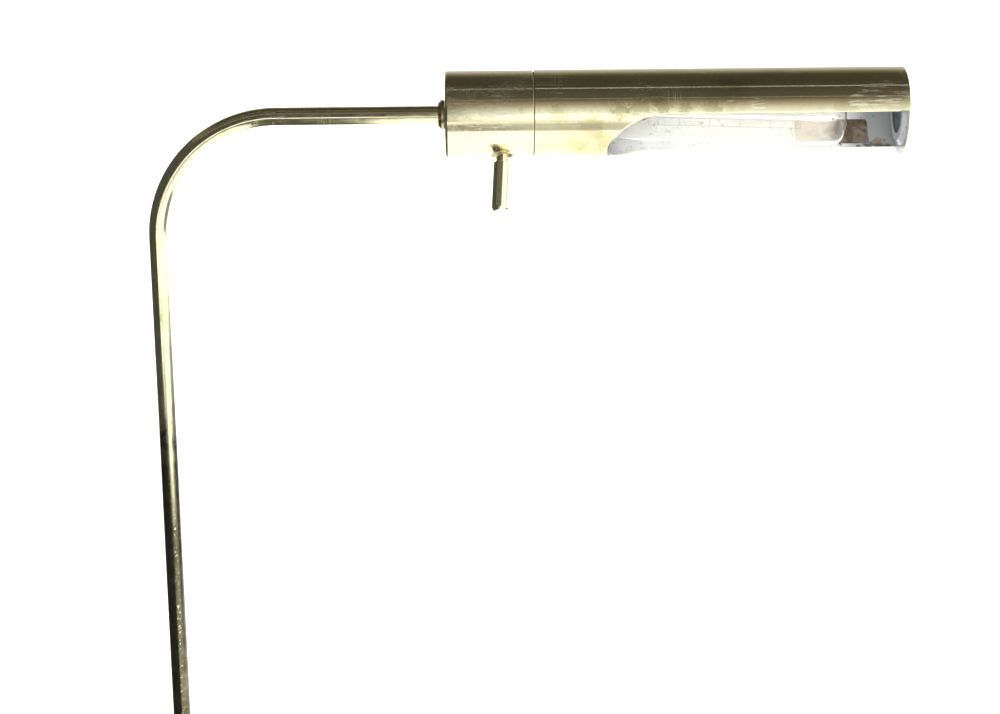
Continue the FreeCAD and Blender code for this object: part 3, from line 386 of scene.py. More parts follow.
def enamel_finish():
    material, tree, shader = new_finish("white enamel")
    place = surface_place(tree)
    ragged = cloud(tree, place, 420.0, 4.0, 0.65)
    clouds = cloud(tree, place, 38.0, 4.0)
    along = add(tree, "ShaderNodeSeparateXYZ", {0: place}).outputs[0]
    uneven = levels(tree, clouds, 0.3, 0.7, -4 * MM, 4 * MM)
    # Towards the end disc the enamel's colour is darkened to grey: painted shade.
    end_shade = levels(tree, total(tree, along, uneven), BACK + 229 * MM, BACK + 246 * MM)
    white = tint(tree, levels(tree, clouds, 0.35, 0.75), (0.87, 0.88, 0.85), (0.76, 0.78, 0.76))
    white = tint(tree, product(tree, end_shade, 0.85), white, (0.19, 0.20, 0.20))
    dust = levels(tree, cloud(tree, place, 620.0, 2.0), 0.665, 0.70)
    white = tint(tree, product(tree, dust, 0.75), white, (0.26, 0.27, 0.27))
    flake = levels(tree, cloud(tree, place, 250.0, 2.0), 0.68, 0.69)
    chips = product(tree, flake, levels(tree, along, BACK + 200 * MM, BACK + 235 * MM, 0.35, 1.0))
    for along_mm, angle, size in CHIPPED:
        chips = largest(tree, chips, near(tree, place, head_spot(along_mm, angle), size * MM, ragged))
    stain = near(tree, place, head_spot(252, 66), 5.0 * MM, ragged)
    colour = tint(tree, product(tree, stain, 0.8), white, (0.20, 0.13, 0.07))
    colour = tint(tree, chips, colour, (0.085, 0.085, 0.09))
    put(tree, shader.inputs["Base Color"], colour)
    gloss = levels(tree, clouds, 0.3, 0.7, 0.22, 0.4)
    put(tree, shader.inputs["Roughness"], total(tree, gloss, product(tree, chips, 0.3)))
    height = calc(tree, "SUBTRACT", product(tree, clouds, 0.6), chips)
    put(tree, shader.inputs["Normal"], relief(tree, height, 0.4, 0.3 * MM))
    shader.inputs["Coat Weight"].default_value = 0.25
    return material


enamel = enamel_finish()
print("enamel has", len(enamel.node_tree.nodes), "nodes")

# %% [markdown]
# ## The paper label and the clear glass
# The heat label is blank paper, browned where it sits nearest the lamp's end and paler on the other side.
# The lamp's envelope is real glass: a thin wall with an outer and an inner skin, so the Principled shader's
# transmission bends light the way a real bulb does, and a little dust keeps it from looking like nothing.

# %% Paper and glass finishes


def paper_finish():
    material, tree, shader = new_finish("paper label")
    place = surface_place(tree)
    fibres = cloud(tree, place, 800.0, 5.0, 0.7)
    scorch = cloud(tree, place, 95.0, 4.0, 0.6, 0.6)
    along = add(tree, "ShaderNodeSeparateXYZ", {0: place}).outputs[0]
    browned = total(tree, levels(tree, along, BACK + 0.220, BACK + 0.233, 0.0, 1.1),
                   levels(tree, scorch, 0.35, 0.7, -0.25, 0.3))
    colour = tint(tree, browned, (0.68, 0.62, 0.53), (0.06, 0.04, 0.022))
    colour = tint(tree, levels(tree, fibres, 0.45, 0.75, 0.0, 0.3), colour, (0.4, 0.32, 0.24))
    put(tree, shader.inputs["Base Color"], colour)
    put(tree, shader.inputs["Roughness"], levels(tree, fibres, 0.3, 0.7, 0.6, 0.85))
    put(tree, shader.inputs["Normal"], relief(tree, fibres, 0.3, 0.1 * MM))
    return material


def glass_finish():
    material, tree, shader = new_finish("clear glass")
    place = surface_place(tree)
    dust = cloud(tree, place, 150.0, 5.0, 0.7)
    put(tree, shader.inputs["Roughness"], levels(tree, dust, 0.45, 0.8, 0.015, 0.12))
    put(tree, shader.inputs["Base Color"], tint(tree, levels(tree, dust, 0.4, 0.8), (0.99, 0.985, 0.96),
                                                (0.95, 0.94, 0.88)))
    put(tree, shader.inputs["Normal"], relief(tree, cloud(tree, place, 35.0, 2.0), 0.12, 0.3 * MM))
    shader.inputs["Transmission Weight"].default_value = 1.0
    shader.inputs["IOR"].default_value = 1.47
    return material


paper = paper_finish()
clear_glass = glass_finish()
FINISH_OF_SLOT = {
    "polished_brass": base_metal, "shade_brass": shade_metal, "dull_brass": inside_metal,
    "zinc_steel": steel, "spring_steel": spring, "iron": iron, "felt": felt, "black_rubber": rubber,
    "nylon": nylon, "fibre": fibre, "dark_plug": plug_dark, "paper_label": paper, "phenolic": phenolic,
    "porcelain": porcelain, "lamp_cap_metal": cap_metal, "solder": solder, "black_glass": black_glass,
    "clear_glass": clear_glass, "filament_wire": wire}
SLOT_OF_NODE = {part["node"]: part["material_slot"] for part in frame["record"]["subparts"]}
print("every slot has a finish:", set(SLOT_OF_NODE.values()) <= set(FINISH_OF_SLOT))

# %% [markdown]
# ## A lathe, and a way to seat a piece
# Most of the lamp is turned or spun. A profile of (along, radius) points is swept round an axis. Real
# edges are never knife sharp, so a corner may be given a small arc. Normals weighted by face size then
# keep each flat looking flat next to its rounded edge. Seating a piece puts it on its body, hides the
# plain piece that it stands for, and prints how far the two boxes differ.

# %% The lathe and the seat


def in_mm(points):
    """Profile points given in millimetres, as metres."""
    return [tuple(value * MM for value in point) for point in points]


def rounded(points, steps=4):
    """Points are (along, radius) or (along, radius, corner). A corner is replaced by an arc."""
    result = []
    for index, point in enumerate(points):
        place, corner = Vector(point[:2]), point[2] if len(point) > 2 else 0
        if corner == 0:
            result.append(place)
            continue
        before = Vector(points[index - 1][:2]) - place
        after = Vector(points[(index + 1) % len(points)][:2]) - place
        half = before.angle(after) / 2
        run = min(corner / math.tan(half), 0.49 * before.length, 0.49 * after.length)
        corner = run * math.tan(half)
        middle = (before.normalized() + after.normalized()).normalized() * (corner / math.sin(half))
        start = before.normalized() * run - middle
        sweep = start.angle_signed(after.normalized() * run - middle)
        for step in range(steps + 1):
            arm = start.copy()
            arm.rotate(Matrix.Rotation(-sweep * step / steps, 2))
            result.append(place + middle + arm)
    return result


CREASE = math.radians(38)


def new_piece(name, work, matrix, materials, recalc=True):
    """Turns a bmesh into a piece whose place is in its mesh."""
    if recalc:
        bmesh.ops.recalc_face_normals(work, faces=work.faces)
    mesh = bpy.data.meshes.new(name)
    work.to_mesh(mesh)
    work.free()
    mesh.transform(matrix)
    mesh.shade_smooth()
    mesh.set_sharp_from_angle(angle=CREASE)
    for material in materials:
        mesh.materials.append(material)
    piece = bpy.data.objects.new(name, mesh)
    bpy.context.scene.collection.objects.link(piece)
    weigh = piece.modifiers.new("even shading", "WEIGHTED_NORMAL")
    weigh.keep_sharp = True
    return piece


def lathe_into(work, profile, about="X", segments=96, slots=None):
    """Adds a closed profile swept about X or Z to a bmesh."""
    rings = []
    for along, radius in profile:
        if radius < 1e-7:
            rings.append([work.verts.new((along, 0, 0) if about == "X" else (0, 0, along))])
            continue
        turns = [2 * math.pi * step / segments for step in range(segments)]
        circle = [(radius * math.cos(a), radius * math.sin(a)) for a in turns]
        rings.append([work.verts.new((along, *spot) if about == "X" else (*spot, along)) for spot in circle])
    for index, low in enumerate(rings):
        high = rings[(index + 1) % len(rings)]
        if len(low) == 1 and len(high) == 1:
            continue
        for step in range(segments):
            after = (step + 1) % segments
            corners = [low[step % len(low)], high[step % len(high)], high[after % len(high)],
                       low[after % len(low)]]
            face = work.faces.new(list(dict.fromkeys(corners)))
            face.material_index = slots[index] if slots else 0


def lathe(name, profile, matrix, materials, about="X", segments=96, slots=None):
    work = bmesh.new()
    lathe_into(work, profile, about, segments, slots)
    return new_piece(name, work, matrix, materials)


def seat(piece, body, *nodes):
    """Rides the piece on its body in place of the frame's plain nodes."""
    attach(piece, body)
    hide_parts(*nodes)
    corners = [piece.matrix_world @ Vector(c) for c in piece.bound_box]
    plain_boxes = [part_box(node) for node in nodes]
    gap = 0.0
    for axis in (X, Y, Z):
        low, high = min(c[axis] for c in corners), max(c[axis] for c in corners)
        gap = max(gap, abs(low - min(b[0][axis] for b in plain_boxes)),
                  abs(high - max(b[1][axis] for b in plain_boxes)))
    print(f"{piece.name}: {len(piece.data.polygons)} faces, box within {gap / MM:.2f} mm")
    return piece


# %% [markdown]
# ## Stem, bend and arm
# The real piece is one brass tube, bent once. A tube along a path is a rule, so Geometry Nodes makes it:
# three corner points become a curve, its corner is rounded to the bend's radius, and a circle is swept
# along it.

# %% A tree that sweeps a round bar along a path


def new_tree(name, sizes):
    """A Geometry Nodes tree with a geometry input and the named sizes as inputs."""
    tree = bpy.data.node_groups.new(name, "GeometryNodeTree")
    face = tree.interface
    face.new_socket("Geometry", in_out="INPUT", socket_type="NodeSocketGeometry")
    for label, kind, value in sizes:
        face.new_socket(label, in_out="INPUT", socket_type="NodeSocket" + kind).default_value = value
    face.new_socket("Finish", in_out="INPUT", socket_type="NodeSocketMaterial")
    face.new_socket("Geometry", in_out="OUTPUT", socket_type="NodeSocketGeometry")
    start = tree.nodes.new("NodeGroupInput")
    return tree, start.outputs


def end_tree(tree, geometry, finish):
    smooth = add(tree, "GeometryNodeSetShadeSmooth", {0: geometry}).outputs[0]
    real = add(tree, "GeometryNodeRealizeInstances", {0: smooth}).outputs[0]
    dressed = add(tree, "GeometryNodeSetMaterial", {"Geometry": real, "Material": finish}).outputs[0]
    tree.links.new(dressed, tree.nodes.new("NodeGroupOutput").inputs[0])
    return tree


def grow(name, tree, start_mesh, finish, matrix=AT_BASE, **sizes):
    """Runs a tree on a start mesh and keeps the result as a plain mesh."""
    seed = bpy.data.objects.new(name + "_start", start_mesh)
    bpy.context.scene.collection.objects.link(seed)
    modifier = seed.modifiers.new("grow", "NODES")
    modifier.node_group = tree
    wanted = {**sizes, "Finish": finish}
    for item in tree.interface.items_tree:
        if item.in_out == "INPUT" and item.name.replace(" ", "_") in wanted:
            modifier[item.identifier] = wanted[item.name.replace(" ", "_")]
    bpy.context.view_layer.update()
    graph = bpy.context.evaluated_depsgraph_get()
    mesh = bpy.data.meshes.new_from_object(seed.evaluated_get(graph))
    seed.modifiers.remove(modifier)
    bpy.data.objects.remove(seed)
    mesh.name = name
    mesh.transform(matrix)
    mesh.set_sharp_from_angle(angle=math.radians(50))
    piece = bpy.data.objects.new(name, mesh)
    bpy.context.scene.collection.objects.link(piece)
    return piece


sweep_tree, inp = new_tree("bar along a path", [
    ("Bar Radius", "Float", 0.005), ("Bend Radius", "Float", 0.07), ("Bend Steps", "Int", 64),
    ("Sides", "Int", 64)])
path = add(sweep_tree, "GeometryNodeMeshToCurve", {0: inp["Geometry"]}).outputs[0]
path = add(sweep_tree, "GeometryNodeFilletCurve", {"Curve": path, "Radius": inp["Bend Radius"],
                                                  "Count": inp["Bend Steps"]}, mode="POLY").outputs[0]
circle = add(sweep_tree, "GeometryNodeCurvePrimitiveCircle", {"Resolution": inp["Sides"],
                                                             "Radius": inp["Bar Radius"]}).outputs[0]
bar = add(sweep_tree, "GeometryNodeCurveToMesh", {"Curve": path, "Profile Curve": circle,
                                                 "Fill Caps": True}).outputs[0]
end_tree(sweep_tree, bar, inp["Finish"])


def path_mesh(points):
    mesh = bpy.data.meshes.new("path")
    mesh.from_pydata([tuple(p) for p in points], [(i, i + 1) for i in range(len(points) - 1)], [])
    return mesh


STEM_FOOT = span("stem_arm", Z)[0]
ARM_END = span("stem_arm", X)[1]
BEND_R = 70 * MM
stem_path = path_mesh([(0, 0, STEM_FOOT), (0, 0, ARM_Z), (ARM_END, 0, ARM_Z)])
stem = grow("stem_and_arm", sweep_tree, stem_path, stem_metal,
            Bar_Radius=TUBE_R, Bend_Radius=BEND_R, Bend_Steps=96, Sides=64)
seat(stem, "arm", "stem_arm")

# %% [markdown]
# ## The swivel collar
# A small turned collar hides the joint between arm and head. Its first half tapers up from the arm, the
# rest is straight, and it is much darker than the tube, because grease and polish collect there.

# %% Collar and washer at the head
RING = span("swivel_collar", X)
RING_BORE, RING_SMALL, RING_LARGE = 4.2 * MM, 6.85 * MM, 8.55 * MM
ring_points = [(RING[0], RING_BORE), (RING[0], RING_SMALL, 0.3 * MM),
               ((RING[0] + RING[1]) / 2, RING_LARGE, 0.3 * MM), (RING[1], RING_LARGE, 0.25 * MM),
               (RING[1], RING_BORE)]
seat(lathe("swivel_ring", rounded(ring_points), ON_ARM, [dark_metal]), "arm", "swivel_collar")

# %% [markdown]
# ## The rear housing
# The closed back of the head is a spun brass cup with a rounded back edge. The switch knob comes out of a
# small dimple near the cut side. The cup is turned on the lathe and a cutter shaped like the switch's
# ferrule opens the hole. Afterwards the round wall's normals are set straight out from the axis, so the
# hole leaves no shading marks round it.

# %% The housing and its hole
KNOB_AT = Vector(joint["knob_turn"]["pos_m"])
KNOB_WAY = Vector(joint["knob_turn"]["axis"]).normalized()
ON_KNOB = Matrix.Translation(KNOB_AT) @ KNOB_WAY.to_track_quat("Z", "Y").to_matrix().to_4x4()
END_PLATE = 1.5 * MM
PLATE_HOLE = 4.35 * MM
FERRULE_R = 6.5 * MM


def straight_out(piece, radius, first, last):
    """Normals of the round outer wall point straight away from the head's axis."""
    mesh = piece.data
    axis = Vector((0, 0, ARM_Z))
    normals = [Vector(item.vector) for item in mesh.corner_normals]
    for face in mesh.polygons:
        spokes = [(mesh.vertices[v].co - axis) * Vector((0, 1, 1)) for v in face.vertices]
        places = [mesh.vertices[v].co.x - BACK for v in face.vertices]
        on_wall = all(abs(spoke.length - radius) < 0.05 * MM for spoke in spokes)
        if on_wall and min(places) > first and max(places) < last:
            for loop, spoke in zip(face.loop_indices, spokes):
                normals[loop] = spoke.normalized()
    mesh.normals_split_custom_set(normals)


def combine(piece, *steps):
    """Joins closed pieces to one, or cuts them out of it, and keeps the result as a plain mesh."""
    piece.modifiers.clear()
    for operation, other in steps:
        step = piece.modifiers.new(operation, "BOOLEAN")
        step.object, step.operation, step.solver = other, operation, "EXACT"
    bpy.context.view_layer.update()
    graph = bpy.context.evaluated_depsgraph_get()
    mesh = bpy.data.meshes.new_from_object(piece.evaluated_get(graph))
    piece.modifiers.clear()
    piece.data = mesh
    for operation, other in steps:
        bpy.data.objects.remove(other)
    mesh.set_sharp_from_angle(angle=math.radians(30))


SIDE_STEP = 2.2 * MM
side = [(END_PLATE + SIDE_STEP * n, HOUSING_R) for n in range(1, int(SEAM_LEFT / SIDE_STEP) - 1)]
housing_points = ([(0, PLATE_HOLE), (0, HOUSING_R, 1.5 * MM)] + side
                  + [(SEAM_LEFT, HOUSING_R, 0.25 * MM), (SEAM_LEFT, BORE_R), (END_PLATE, BORE_R),
                     (END_PLATE, PLATE_HOLE)])
housing = lathe("head_housing", rounded(housing_points, 5), ON_HEAD, [housing_metal], segments=192)


def rod_cutter(name, radius, start, end, matrix, segments=48):
    """A plain rod about Z, for cutting a round hole."""
    profile = rounded([(start, 0), (start, radius), (end, radius), (end, 0)])
    return lathe(name, profile, matrix, [], about="Z", segments=segments)


hole = rod_cutter("hole_cutter", FERRULE_R, -6 * MM, 2 * MM, ON_KNOB, 96)
combine(housing, ("DIFFERENCE", hole))
straight_out(housing, HOUSING_R, 1.4 * MM, SEAM_LEFT - 0.2 * MM)
seat(housing, "head", "rear_housing")

# %% [markdown]
# ## The switch: dimple, spindle and pin knob
# The switch's ferrule is a shallow countersunk dish let into the housing, flush with its round wall. The
# frame already holds that exact shape, so a merged copy of it is taken, and only its smoothing is new. The
# knob is a long pin with a short thinner neck and a rounded tip, turned on the lathe along its own leaning
# axis.

# %% Dimple and knob


def smoothed_copy(name, node, materials, angle=35):
    """A merged copy of one of the frame's pieces, with smooth round faces and crisp edges."""
    work = bmesh.new()
    work.from_mesh(frame["nodes"][node].data)
    bmesh.ops.remove_doubles(work, verts=work.verts, dist=0.002 * MM)
    bmesh.ops.dissolve_limit(work, angle_limit=math.radians(0.5), verts=work.verts, edges=work.edges)
    return new_piece(name, work, AT_BASE, materials, angle)


seat(smoothed_copy("switch_dimple", "switch_ferrule", [dimple_metal], 25), "head", "switch_ferrule")
knob_points = in_mm([(-0.4, 0), (-0.4, 3.5, 0.3), (5, 3.5), (5, 4.85, 0.5), (33.6, 4.85, 3.7), (33.6, 0)])
knob = lathe("pin_knob", rounded(knob_points, 10), ON_KNOB, [knob_metal], about="Z", segments=72)
seat(knob, "switch_knob", "switch_knob")

# %% [markdown]
# ## The shade
# The shade is a tube of 1 mm brass sheet. A flat cut opens it along one side and runs out at the housing
# end in a long curve. Cutting a finished tube with a flat block would leave long thin faces, so the sheet
# is drawn row by row instead: each row spans exactly the angles that the cut leaves, on the outer and on
# the inner wall, and the cut's edge joins them. The outside and the cut's edge are brass, the inside is
# enamelled.

# %% The cut's shape along the shade
CUT_START, CUT_STRAIGHT, CUT_PLANE = 91.5 * MM, 127.4 * MM, 12.5 * MM
run, drop = CUT_STRAIGHT - CUT_START, SHADE_R - CUT_PLANE
SWEEP_R = (run * run + drop * drop) / (2 * drop)


def cut_depth(along):
    """How far below the axis the cut lies at a place along the head."""
    if along >= CUT_STRAIGHT:
        return CUT_PLANE
    if along <= CUT_START:
        return SHADE_R
    return CUT_PLANE + SWEEP_R - math.sqrt(SWEEP_R ** 2 - (CUT_STRAIGHT - along) ** 2)


def cut_angle(along, radius):
    return math.acos(min(1.0, cut_depth(along) / radius))


print("sweep radius of the cut", round(SWEEP_R / MM, 1), "mm")

# %% The sheet, row by row
COLUMNS = 168
INNER_OPEN = CUT_STRAIGHT - math.sqrt(SWEEP_R ** 2 - (SWEEP_R - (BORE_R - CUT_PLANE)) ** 2)


def shade_rows():
    close = [CUT_START + (INNER_OPEN - CUT_START) * n / 3 for n in range(4)]
    curve = [INNER_OPEN + (CUT_STRAIGHT - INNER_OPEN) * (n / 26) ** 1.5 for n in range(1, 27)]
    lead = [SEAM_RIGHT + (CUT_START - SEAM_RIGHT) * n / 14 for n in range(14)]
    rest = [CUT_STRAIGHT + (SHADE_END - CUT_STRAIGHT) * n / 40 for n in range(1, 41)]
    return lead + close + curve + rest


def build_shade_sheet():
    work = bmesh.new()
    rows = shade_rows()
    walls = []
    for radius in (SHADE_R, BORE_R):
        wall = []
        for along in rows:
            low = cut_angle(along, radius)
            step = (2 * math.pi - 2 * low) / COLUMNS
            row = [drum_point(along, radius, low + step * n) for n in range(COLUMNS + 1)]
            wall.append([work.verts.new(spot) for spot in row])
        walls.append(wall)
    outer, inner = walls
    for wall, slot in ((outer, 0), (inner, 1)):
        for row in range(len(rows) - 1):
            for n in range(COLUMNS):
                corners = [wall[row][n], wall[row + 1][n], wall[row + 1][n + 1], wall[row][n + 1]]
                work.faces.new(corners if slot == 0 else corners[::-1]).material_index = slot
    for row, way in ((0, 1), (-1, -1)):
        for n in range(COLUMNS):
            corners = [outer[row][n], outer[row][n + 1], inner[row][n + 1], inner[row][n]]
            work.faces.new(corners[::way]).material_index = 0
    first = rows.index(CUT_START)
    opened = min(range(len(rows)), key=lambda r: abs(rows[r] - INNER_OPEN))
    ridge = {row: work.verts.new((rows[row], 0, -cut_depth(rows[row]))) for row in range(first + 1, opened)}
    for row in range(first, len(rows) - 1):
        for n, way in ((0, 1), (COLUMNS, -1)):
            low = ridge.get(row, inner[row][n] if row >= opened else None)
            high = ridge.get(row + 1, inner[row + 1][n] if row + 1 >= opened else None)
            corners = [c for c in (outer[row][n], low, high, outer[row + 1][n]) if c is not None]
            work.faces.new(corners[::way]).material_index = 2
    bmesh.ops.remove_doubles(work, verts=work.verts, dist=0.004 * MM)
    return work


shade = new_piece("cut_open_shade", build_shade_sheet(), ON_HEAD, [shade_metal, enamel, shade_metal],
                  recalc=False)
seat(shade, "head", "shade_tube")

# %% [markdown]
# ## End disc and vent
# The open end of the shade is closed by a disc whose rim is flat and whose middle is dished in a little,
# with a round hole to let heat out. A dark disc sits just behind the hole. The flat rim is brass outside,
# and the side that faces the lamp and the dish are enamelled like the shade, so the profile carries two
# finishes.

# %% The end disc and the vent plug
DISC_IN, DISC_OUT = SHADE_END, SHADE_END + 1 * MM
DISH = 2.2 * MM
FLAT_R, DISH_R, VENT_R = 20 * MM, 17 * MM, 13 * MM
disc_points = [(DISC_IN, SHADE_R), (DISC_OUT, SHADE_R, 0.4 * MM), (DISC_OUT, FLAT_R, 1 * MM),
               (DISC_OUT - DISH, DISH_R, 1 * MM), (DISC_OUT - DISH, VENT_R, 0.3 * MM),
               (DISC_IN - DISH, VENT_R, 0.3 * MM), (DISC_IN - DISH, DISH_R, 1 * MM),
               (DISC_IN, FLAT_R, 1 * MM)]
disc_profile = rounded(disc_points)
enamelled = [place <= DISC_IN + 0.01 * MM for place, radius in disc_profile]
disc_slots = [1 if here and enamelled[(n + 1) % len(enamelled)] else 0 for n, here in enumerate(enamelled)]
disc = lathe("dished_end_disc", disc_profile, ON_HEAD, [shade_metal, enamel], segments=160,
             slots=disc_slots)
seat(disc, "head", "end_disc")
PLUG = [v - BACK for v in span("vent_plug", X)]
PLUG_R = (span("vent_plug", Y)[1] - span("vent_plug", Y)[0]) / 2
plug_points = [(PLUG[0], 0), (PLUG[0], PLUG_R, 0.3 * MM), (PLUG[1], PLUG_R, 0.2 * MM), (PLUG[1], 0)]
seat(lathe("vent_disc", rounded(plug_points), ON_HEAD, [plug_dark]), "head", "vent_plug")

# %% [markdown]
# ## The heat label
# A paper label is glued inside the shade behind the lamp. It is a thin curved patch with round corners, a
# slight lift at its edges and shallow wrinkles where the glue has let go. A grid of angles and lengths,
# pulled in at its corners, gives all of that with one height per point.

# %% The label


def build_label():
    work = bmesh.new()
    along_n, round_n = 48, 28
    first, last = [v - BACK for v in span("heat_label", X)]
    middle, half, corner = math.radians(87.5), math.radians(20), 2.2 * MM
    high = (last - first) / 2
    wide = half * BORE_R
    skins = []
    for lift in (0.0, 0.1 * MM):
        skin = []
        for i in range(along_n + 1):
            row = []
            for j in range(round_n + 1):
                u, v = (2 * i / along_n - 1) * high, (2 * j / round_n - 1) * wide
                over_u, over_v = abs(u) - (high - corner), abs(v) - (wide - corner)
                if over_u > 0 and over_v > 0:
                    most = max(over_u, over_v)
                    shrink = most / math.hypot(over_u, over_v)
                    u = math.copysign(high - corner + over_u * shrink, u)
                    v = math.copysign(wide - corner + over_v * shrink, v)
                waves = (1 + math.sin(u * 900 + v * 500)) * (1 + math.cos(v * 700 - u * 260))
                wrinkle = 0.02 * MM * waves / 2
                radius = BORE_R - 0.07 * MM - lift - wrinkle * (abs(v) / wide) ** 2
                row.append(work.verts.new(drum_point((first + last) / 2 + u, radius, middle + v / BORE_R)))
            skin.append(row)
        skins.append(skin)
    for skin, way in ((skins[0], 1), (skins[1], -1)):
        for i in range(along_n):
            for j in range(round_n):
                corners = [skin[i][j], skin[i + 1][j], skin[i + 1][j + 1], skin[i][j + 1]]
                work.faces.new(corners[::way])
    border = ([(i, 0) for i in range(along_n)] + [(along_n, j) for j in range(round_n)]
              + [(i, round_n) for i in range(along_n, 0, -1)] + [(0, j) for j in range(round_n, 0, -1)])
    for n, (i, j) in enumerate(border):
        k, m = border[(n + 1) % len(border)]
        work.faces.new([skins[0][i][j], skins[1][i][j], skins[1][k][m], skins[0][k][m]])
    return work


seat(new_piece("blank_heat_label", build_label(), ON_HEAD, [paper]), "head", "heat_label")

# %% [markdown]
# ## Lampholder
# The porcelain lampholder looks out of the housing into the shade. Two screws hold it to a steel bracket.
# Its front is a thick rounded ring with the brass screw shell just inside.

# %% The porcelain body
body_points = in_mm([(51, 6), (51, 17, 1.2), (62, 17, 0.8), (62, 18.5, 1.2), (90, 18.5, 1.6), (90, 15, 0.8),
                     (60, 15), (60, 6)])
seat(lathe("porcelain_holder", rounded(body_points, 6), ON_HEAD, [porcelain]), "head", "socket_body")

# %% [markdown]
# ## The lamp
# It is a clear tubular lamp that hangs two degrees low in its holder. The envelope has a neck, a
# shoulder, a straight tube and a domed end, each with an outer and an inner skin. Inside are a glass
# mount, support wires and one long coiled filament that runs out and back.

# %% Envelope and mount
PIVOT = 76 * MM
ON_LAMP = (Matrix.Translation((BACK + PIVOT, 0, ARM_Z)) @ Matrix.Rotation(math.radians(2), 4, "Y")
           @ Matrix.Translation((-PIVOT, 0, 0)))
GLASS_R, GLASS_WALL, TIP = 14.75 * MM, 0.7 * MM, 229.5 * MM
GLASS_START, SHOULDER_START, SHOULDER_END = 69.13 * MM, 88.5 * MM, 95 * MM
NECK_R, NECK_BORE = 12.2 * MM, 11.5 * MM
INNER_R, INNER_TIP = GLASS_R - GLASS_WALL, TIP - GLASS_WALL
STEADY = (140 * MM, 185 * MM)
glass_points = [(GLASS_START, NECK_BORE), (GLASS_START, NECK_R), (SHOULDER_START, NECK_R, 3 * MM),
                (SHOULDER_END, GLASS_R, 5 * MM), (STEADY[0], GLASS_R), (STEADY[1], GLASS_R),
                (TIP, GLASS_R, 12 * MM), (TIP, 0), (INNER_TIP, 0), (INNER_TIP, INNER_R, 11.3 * MM),
                (STEADY[1], INNER_R), (STEADY[0], INNER_R), (SHOULDER_END, INNER_R, 5 * MM),
                (SHOULDER_START, NECK_BORE, 3 * MM)]
envelope = lathe("lamp_envelope", rounded(glass_points, 12), ON_LAMP, [clear_glass], segments=96)
envelope.visible_shadow = False
seat(envelope, "head", "lamp_glass")
mount_points = in_mm([(72.9, 0), (72.9, 11.3, 0.3), (74.2, 11.3, 0.3), (88.5, 4.2, 4), (112, 4.2, 2),
                      (117, 1.4, 1), (204, 1.2, 1), (207.5, 1.6, 1.2), (208.6, 0)])
mount = lathe("lamp_stem_glass", rounded(mount_points, 6), ON_LAMP, [clear_glass], segments=48)
mount.visible_shadow = False
seat(mount, "head", "lamp_mount")

# %% [markdown]
# The filament is a coil: a spiral swept with a very thin wire. The tree takes its length, turns and
# radii, copies the coil to the far side, and joins in a row of thin support wires at even steps along the
# glass rod.

# %% The filament tree
coil_tree, inp = new_tree("coil and hooks", [
    ("Length", "Float", 0.08), ("Turns", "Float", 60.0), ("Coil Radius", "Float", 0.0006),
    ("Wire Radius", "Float", 0.00013), ("Offset", "Float", 0.0055), ("Hooks", "Int", 5)])
spiral = add(coil_tree, "GeometryNodeCurveSpiral", {"Resolution": 9, "Rotations": inp["Turns"],
                                                   "Start Radius": inp["Coil Radius"],
                                                   "End Radius": inp["Coil Radius"],
                                                   "Height": inp["Length"]}).outputs[0]
thin = add(coil_tree, "GeometryNodeCurvePrimitiveCircle",
           {"Resolution": 5, "Radius": inp["Wire Radius"]}).outputs[0]
coil = add(coil_tree, "GeometryNodeCurveToMesh", {"Curve": spiral, "Profile Curve": thin}).outputs[0]
side_move = add(coil_tree, "ShaderNodeCombineXYZ", {0: inp["Offset"]}).outputs[0]
coil_out = add(coil_tree, "GeometryNodeTransform", {"Geometry": coil, "Translation": side_move}).outputs[0]
back_turn = add(coil_tree, "GeometryNodeTransform",
                {"Geometry": coil_out, "Rotation": (0, 0, math.pi)}).outputs[0]
tip_up = add(coil_tree, "ShaderNodeCombineXYZ", {2: inp["Length"]}).outputs[0]
rungs = add(coil_tree, "GeometryNodeMeshLine", {"Count": inp["Hooks"], "Offset": tip_up},
            mode="END_POINTS").outputs[0]
width = product(coil_tree, inp["Offset"], 2.0)
thick = product(coil_tree, inp["Wire Radius"], 1.3)
rung = add(coil_tree, "GeometryNodeMeshCylinder",
           {"Vertices": 6, "Radius": thick, "Depth": width}).outputs[0]
rung = add(coil_tree, "GeometryNodeTransform", {"Geometry": rung, "Rotation": (0, math.pi / 2, 0)}).outputs[0]
rungs = add(coil_tree, "GeometryNodeInstanceOnPoints", {"Points": rungs, "Instance": rung}).outputs[0]
joined = add(coil_tree, "GeometryNodeJoinGeometry")
for part in (rungs, back_turn, coil_out):
    coil_tree.links.new(part, joined.inputs[0])
end_tree(coil_tree, joined.outputs[0], inp["Finish"])
COIL_START = 117 * MM
COIL_FRAME = ON_LAMP @ Matrix.Translation((COIL_START, 0, 0)) @ Matrix.Rotation(math.radians(90), 4, "Y")
filament = grow("coiled_filament", coil_tree, path_mesh([(0, 0, 0), (0, 0, 0.01)]), wire, COIL_FRAME,
                Length=204.5 * MM - COIL_START, Turns=95.0, Coil_Radius=0.3 * MM, Wire_Radius=0.05 * MM,
                Offset=5.4 * MM, Hooks=6)
seat(filament, "head", "lamp_filament")

# %% [markdown]
# ## Base
# A spun brass cover goes over a cast iron weight, with felt underneath. The cover's slope is slightly
# crowned and its shoulder rolls over into the rim, so the profile has a few extra points. The felt disc
# is cut a little smaller, and its edge is soft.

